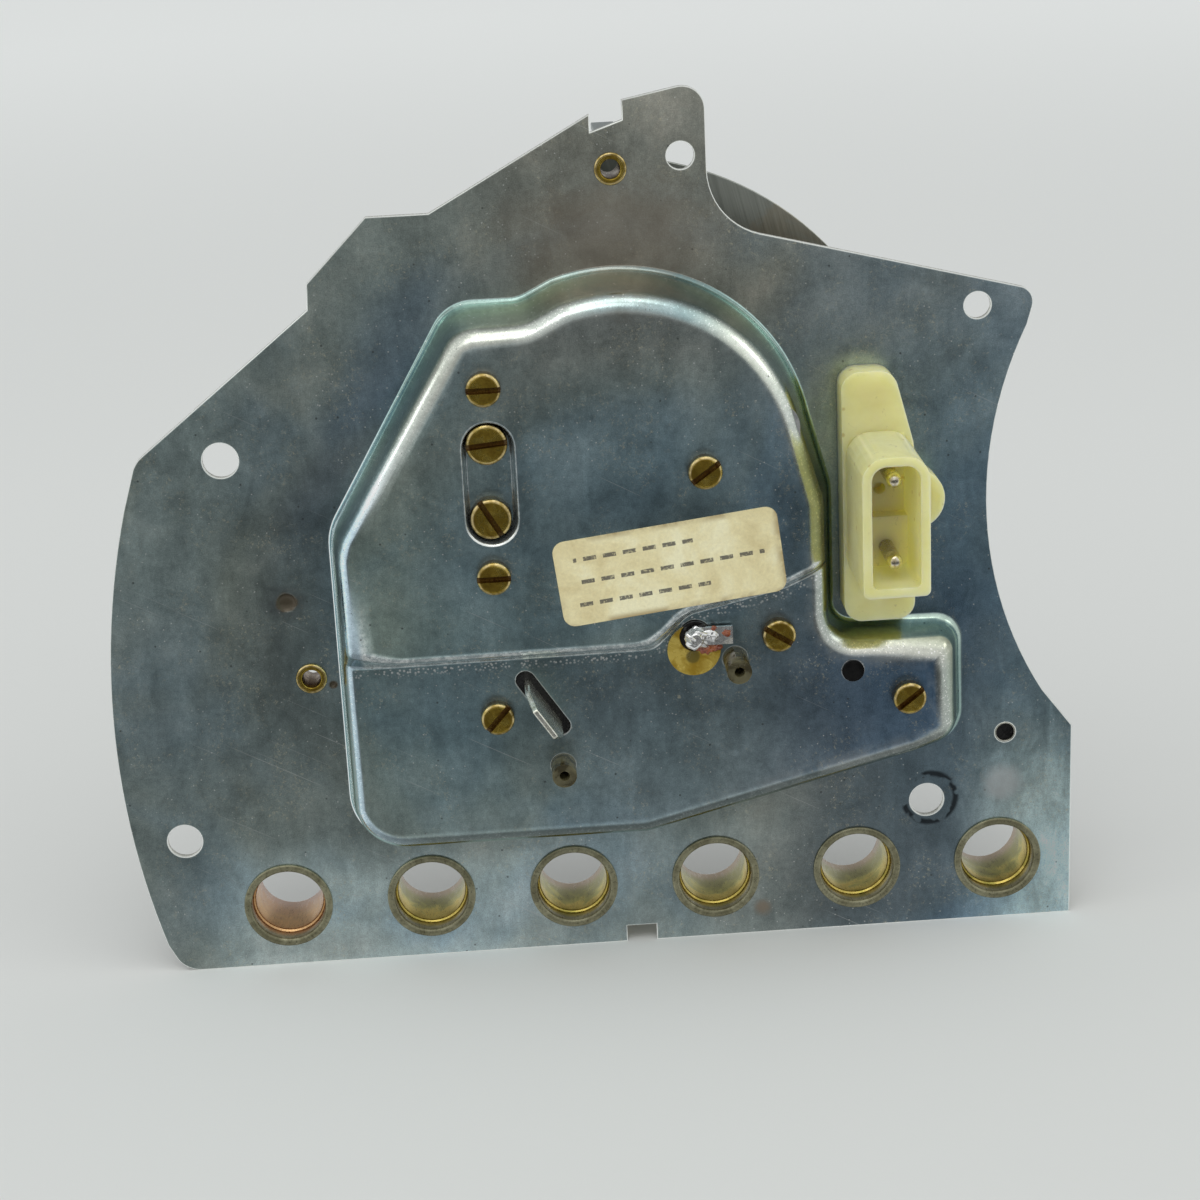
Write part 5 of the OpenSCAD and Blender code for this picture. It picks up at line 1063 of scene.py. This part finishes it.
# Supply tab in its black slot
top, w, root = -14, 3.9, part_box("supply_tab")[1][1] / MM
corners = [(-1.9, root), (-1.9, -3), (-w, -3), (-w, top + 3.4), (-2.35, top), (2.35, top), (w, top + 3.4),
    (w, -3), (1.9, -3), (1.9, root)]
blade = []
for side in (-0.4, 0.4):
    for across, y in corners:
        x, z = along(along(TAB, TAB_TURN, across), TAB_TURN + 90, side)
        blade.append((x, y, z))
n = len(corners)
ends = [tuple(range(n))[::-1], tuple(range(n, 2 * n))]
tab = add_object("supply_blade", blade, ends + between(0, n, n), [tinned()])
tab.data.set_sharp_from_angle(angle=math.radians(20))
bevel = tab.modifiers.new("bevel", "BEVEL")
bevel.width, bevel.segments, bevel.harden_normals = 0.22 * MM, 3, True
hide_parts("supply_tab")
bevelled("tab_insulator", plastic("black_moulding", 0.004, 0.009, (0.14, 0.28), 2, 0.25, 0.04, specular=0.4),
    0.08)

# Earth terminal
bevelled("terminal_washer", amber("amber_washer", (0.32, 0.2, 0.015), (0.54, 0.4, 0.07), (57.4, 35.4),
    transmission=0.15, coat=0.5), 0.08)
bevelled("terminal_bush", plastic("bush_moulding", 0.006, (0.016, 0.015, 0.014), (0.06, 0.16), 2.5, 0.3,
    coat=0.5), 0.08)


def blob(name, place, size, y0, material, seed, lump, squash):
    """A lump of solder or flux: a noisy dome that sits on the level y0."""
    rings, steps = 12, 28
    vertices, faces = [], []
    for k in range(rings + 1):
        a = math.pi / 2 * k / rings
        for i in range(steps):
            t = 2 * math.pi * i / steps
            d = Vector((math.cos(t) * math.cos(a), -math.sin(a), math.sin(t) * math.cos(a))) * Vector(squash)
            p = d * size * (1 + lump * field.noise(d * 2.1 + Vector((seed, seed * 0.7, 0))))
            vertices.append((place[0] + p.x, y0 + p.y, place[1] + p.z))
        faces += (between(k * steps, (k + 1) * steps, steps) if k < rings
            else [tuple(range(k * steps, (k + 1) * steps))])
    return add_object(name, vertices, faces, [material])


shiny = solder()
bevelled("solder_tag", shiny, 0.18, 2)
blob("solder_joint", (57.9, 38.15), 1.55, -6.9, shiny, 3, 0.5, (1, 0.62, 1))
blob("solder_fillet", (59.6, 38.35), 1.05, -6.9, shiny, 8, 0.4, (1.3, 0.35, 0.8))
flux = amber("flux_resin", (0.2, 0.03, 0.008), (0.36, 0.09, 0.02), transmission=0.15, coat=0.8)
for i, (place, size, level) in enumerate([((59.3, 36.4), 0.85, -6.45), ((60.6, 36.6), 0.7, -6.45),
        ((62, 38.6), 0.55, -6.95), ((60.3, 39.4), 0.4, -6.95), ((58.2, 36.5), 0.45, -6.45)]):
    blob(f"flux_bead_{i + 1}", place, size, level, flux, 11 + i, 0.4, (1.1, 0.5, 0.9))


def peg_nylon():
    """Undyed nylon that has gone brown where its pegs stand out of the plate."""
    s = Shader("clock_base_nylon", sss=0.15, sss_scale=0.002, sss_radius=(1, 0.9, 0.6), coat=0.3,
        coat_rough=0.15)
    y, cloud = s.place().axis("Y"), s.noise(0.5, 4, 0.55, 0.4)
    pale = s.mix(cloud.band(0.34, 0.66), (0.5, 0.49, 0.38), (0.62, 0.61, 0.5))
    aged = s.mix(cloud.band(0.38, 0.62), (0.034, 0.028, 0.011), (0.1, 0.09, 0.045))
    return s.done(pale.mix(y.band(-5, -6.4), aged), cloud.band(0.35, 0.65, 0.22, 0.36), cloud, 0.15, 0.06)


# Clock base with its two pegs, and the black pivot end
bevelled("clock_base", peg_nylon(), 0.15)
bevelled("idler_pin", plastic("pivot_moulding", 0.003, 0.007, (0.1, 0.2), 3, 0.2,
    specular=0.3), 0.35, 3)

# Dial side, movement, electronics and clock train: CAD node, width and segments of its rounded edges, then
# the material's name, dark and light tone, roughness, grain, bump and dust
for node, width, segments, *finish in (
        ("knob_bush", 0.08, 2, "bush_steel", (0.34, 0.34, 0.3), (0.58, 0.57, 0.5), (0.18, 0.34), 2),
        ("dial_screws", 0.1, 2, "blackened_steel", (0.06, 0.06, 0.065), 0.14, (0.25, 0.4), 2),
        ("needle_stop", 0.08, 2, "stop_pin", 0.1, 0.2, (0.25, 0.4), 3),
        ("hand_bush", 0.08, 2, "bush_brass", (0.4, 0.28, 0.1), (0.66, 0.5, 0.2), (0.2, 0.35), 2),
        ("centre_post", 0.05, 2, "post_steel", 0.4, (0.62, 0.62, 0.61), (0.18, 0.3), 3),
        ("cannon_pinion", 0.03, 1, "pinion_steel", (0.38, 0.38, 0.37), (0.6, 0.6, 0.58), (0.2, 0.34), 3),
        ("movement_base", 0.2, 2, "die_casting", (0.3, 0.31, 0.32), (0.5, 0.51, 0.52), (0.38, 0.55), 1, 0.3),
        ("magnet_rotor", 0.1, 2, "sintered_magnet", 0.1, (0.2, 0.2, 0.21), (0.45, 0.6), 1.5, 0.3),
        ("spindle", 0.05, 2, "spindle_steel", 0.42, (0.66, 0.66, 0.65), (0.14, 0.26), 3),
        ("hairspring", 0, 2, "spring_bronze", (0.42, 0.32, 0.14), (0.62, 0.5, 0.26), (0.2, 0.32), 3),
        ("quartz_can", 0.15, 2, "quartz_tin", (0.46, 0.46, 0.44), (0.7, 0.7, 0.68), (0.16, 0.3), 1.5),
        ("stepper_stator", 0.08, 2, "stator_iron", (0.2, 0.21, 0.22), (0.36, 0.37, 0.38), (0.3, 0.45), 1.5),
        ("stepper_rotor", 0.04, 1, "stepper_magnet", 0.12, (0.22, 0.22, 0.23), (0.4, 0.55), 2.5)):
    bevelled(node, metal(*finish), width, segments)
for node, width, *finish in (
        ("needle", 0.08, "needle_orange", (0.78, 0.16, 0.02), (0.86, 0.22, 0.03), (0.35, 0.48), 1.2, 0.05),
        ("needle_cap", 0.2, "cap_moulding", 0.012, 0.022, (0.35, 0.5), 1.5, 0.12, 0.08),
        ("minute_hand", 0.05, "hand_paint", (0.72, 0.72, 0.7), (0.8, 0.8, 0.78), (0.35, 0.5), 2, 0.05, 0.05),
        ("hour_hand", 0.05, "hour_hand_paint", (0.7, 0.7, 0.68), (0.79, 0.79, 0.77), (0.36, 0.5), 2,
        0.05, 0.05),
        ("coil_former_rear", 0.12, "former_moulding", (0.66, 0.65, 0.58), (0.76, 0.75, 0.7), (0.36, 0.5), 1.2,
            0.1, 0.1),
        ("coil_former_front", 0.12, "former_front_moulding", (0.64, 0.63, 0.55), (0.75, 0.74, 0.68),
        (0.36, 0.5), 1.4, 0.1, 0.1),
        ("board_spacers", 0.12, "spacer_moulding", (0.6, 0.55, 0.4), (0.72, 0.68, 0.54), (0.35, 0.5), 1.5),
        ("control_chip", 0.08, "chip_epoxy", 0.014, 0.03, (0.45, 0.6), 2.5, 0.25),
        ("clock_chip", 0.08, "clock_chip_epoxy", (0.012, 0.012, 0.013), (0.026, 0.026, 0.028), (0.42, 0.58),
        2.8, 0.25),
        ("trimmer", 0.12, "trimmer_moulding", (0.02, 0.07, 0.32), (0.04, 0.11, 0.44), (0.34, 0.48), 1.5),
        ("clock_bridge", 0.12, "bridge_moulding", (0.66, 0.65, 0.6), (0.76, 0.75, 0.71), (0.36, 0.5), 1.2,
        0.1, 0.1)):
    bevelled(node, plastic(*finish), width)
for node, tone in (("train_wheel", 0), ("centre_wheel", 0.02), ("motion_wheel", -0.02), ("hour_wheel", 0.03),
        ("idler_gear", 0.01)):
    dark, light = (tuple(level + tone for level in tones)
        for tones in ((0.66, 0.64, 0.55), (0.78, 0.76, 0.68)))
    bevelled(node, plastic(node + "_moulding", dark, light, (0.34, 0.46), 1.8, 0.08, 0.06), 0.04, 1)
bevelled("setting_knob", plastic("knob_moulding", 0.004, 0.01, (0.2, 0.35), 1.5, 0.15, 0.04, specular=0.2),
    0.12)
bevelled("dial", dial_coat())
bevelled("shield_can", metal("can_zinc", (0.34, 0.37, 0.37), (0.56, 0.58, 0.55), (0.22, 0.4), 0.8, 0.12,
    (1, 0.15, 1), (0.3, 0.27, 0.18), 0.35), 0.25, 3)
bevelled("bearing_bridge", metal("bridge_brass", (0.4, 0.29, 0.1), (0.66, 0.5, 0.2), (0.22, 0.38), 1.6, 0.15,
    (0.3, 1, 2)))
for node, name, across, pitch, width in (("inner_coil", "inner_winding", "Z", 26, 0.15),
        ("outer_coil", "outer_winding", "X", 26, 0.15), ("stepper_coil", "stepper_winding", "X", 24, 0.1)):
    bevelled(node, copper_winding(name, across, pitch), width)
bevelled("circuit_board", laminate("board_laminate", (0.16, 0.085, 0.03), (0.25, 0.14, 0.05),
    (0.36, 0.24, 0.1)), 0.08)
bevelled("clock_board", laminate("clock_laminate", (0.05, 0.1, 0.03), (0.09, 0.15, 0.05), (0.2, 0.26, 0.1)),
    0.08)
bevelled("electrolytic_capacitor", plastic("shrunk_sleeve", (0.01, 0.025, 0.1), (0.018, 0.045, 0.17),
    (0.18, 0.3), 1, 0.1, 0.08, coat=0.3), 0.35, 3)
bevelled("film_capacitors", plastic("dipped_film", (0.34, 0.045, 0.025), (0.46, 0.08, 0.035), (0.16, 0.3),
    0.9, 0.2, coat=0.4), 0.6, 3)
bevelled("resistors", resistor_bands(), 0.3, 3)


# Print on the dial: a plain scale of eight numbers, and the clock's ticks
FACE, PRINT = 15.8, 0.03  # the dial's front face and the thickness of its print
ZERO, SWEEP = 125, 250  # degrees from the top to 0, and from 0 to 7
LONG, SHORT, SCALE, NUMBERS = 33.2, 34.4, 36.2, 28.6  # radii of ticks' inner ends, scale, numbers


class Ink:
    """Flat marks on the dial's face, from corners in x and z."""

    def __init__(self):
        self.vertices, self.faces = [], []

    def strip(self, points):
        n, start = len(points), len(self.vertices)
        self.vertices += [(x, y, z) for y in (FACE + PRINT, FACE) for x, z in points]
        self.faces += [tuple(range(start, start + n))[::-1]] + between(start, start + n, n)

    def tick(self, centre, degrees, r0, r1, width):
        a, b = along(centre, degrees, r0), along(centre, degrees, r1)
        self.strip([along(p, degrees + side, width / 2)
            for p, side in ((a, -90), (b, -90), (b, 90), (a, 90))])

    def piece(self, name, material):
        return add_object(name, self.vertices, self.faces, [material], smooth=False)


def scale_angle(value):
    """Direction of a value of the scale, seen from the rear; 0 is where the needle rests."""
    return 90 - ZERO + SWEEP * value / 7


def numeral(text, at, size):
    """Points and polygons of a text in the dial's plane, mirrored because the dial is read from its front."""
    curve = bpy.data.curves.new("numeral", "FONT")
    curve.body, curve.size = text, size
    curve.align_x, curve.align_y = "CENTER", "CENTER"
    curve.resolution_u = 4
    holder = new_object("numeral", curve)
    bpy.context.view_layer.update()
    flat = bpy.data.meshes.new_from_object(holder.evaluated_get(bpy.context.evaluated_depsgraph_get()))
    out = ([(at[0] - v.co.x, at[1] + v.co.y) for v in flat.vertices],
        [tuple(p.vertices) for p in flat.polygons])
    bpy.data.objects.remove(holder)
    bpy.data.curves.remove(curve)
    bpy.data.meshes.remove(flat)
    return out


white, red = Ink(), Ink()
for i in range(32):
    inner, width = (LONG, 0.9) if i % 5 == 0 else (SHORT, 0.45)
    white.tick(SPINDLE, scale_angle(i / 5), inner, SCALE, width)
steps = 14
inner, outer = (arc(SPINDLE, r, scale_angle(6.4), scale_angle(7), steps) for r in (SHORT, SCALE))
for k in range(steps):
    red.strip([inner[k], outer[k], outer[k + 1], inner[k + 1]])
red.tick(SPINDLE, scale_angle(7), LONG, SCALE, 0.9)
for i in range(60):
    inner, width = (11.2, 0.8) if i % 15 == 0 else (12.2, 0.5) if i % 5 == 0 else (12.9, 0.2)
    white.tick(CLOCK, 90 - 6 * i, inner, 13.6, width)
labels = [(str(k), along(SPINDLE, scale_angle(k), NUMBERS), 5.6) for k in range(8)]
labels.append(("x1000", (SPINDLE[0], SPINDLE[1] + 12.5), 2.6))
for text, at, size in labels:
    points, polygons = numeral(text, at, size)
    base = len(white.vertices)
    white.vertices += [(x, FACE + PRINT, z) for x, z in points]
    white.faces += [tuple(base + k for k in face) for face in polygons]
dial_print = white.piece("dial_print", plastic("print_white", (0.62, 0.62, 0.59), (0.74, 0.74, 0.71),
    (0.5, 0.62), 2, 0.05))
red_print = red.piece("red_print", plastic("print_red", (0.56, 0.035, 0.015), (0.68, 0.06, 0.02), (0.5, 0.62),
    2, 0.05))
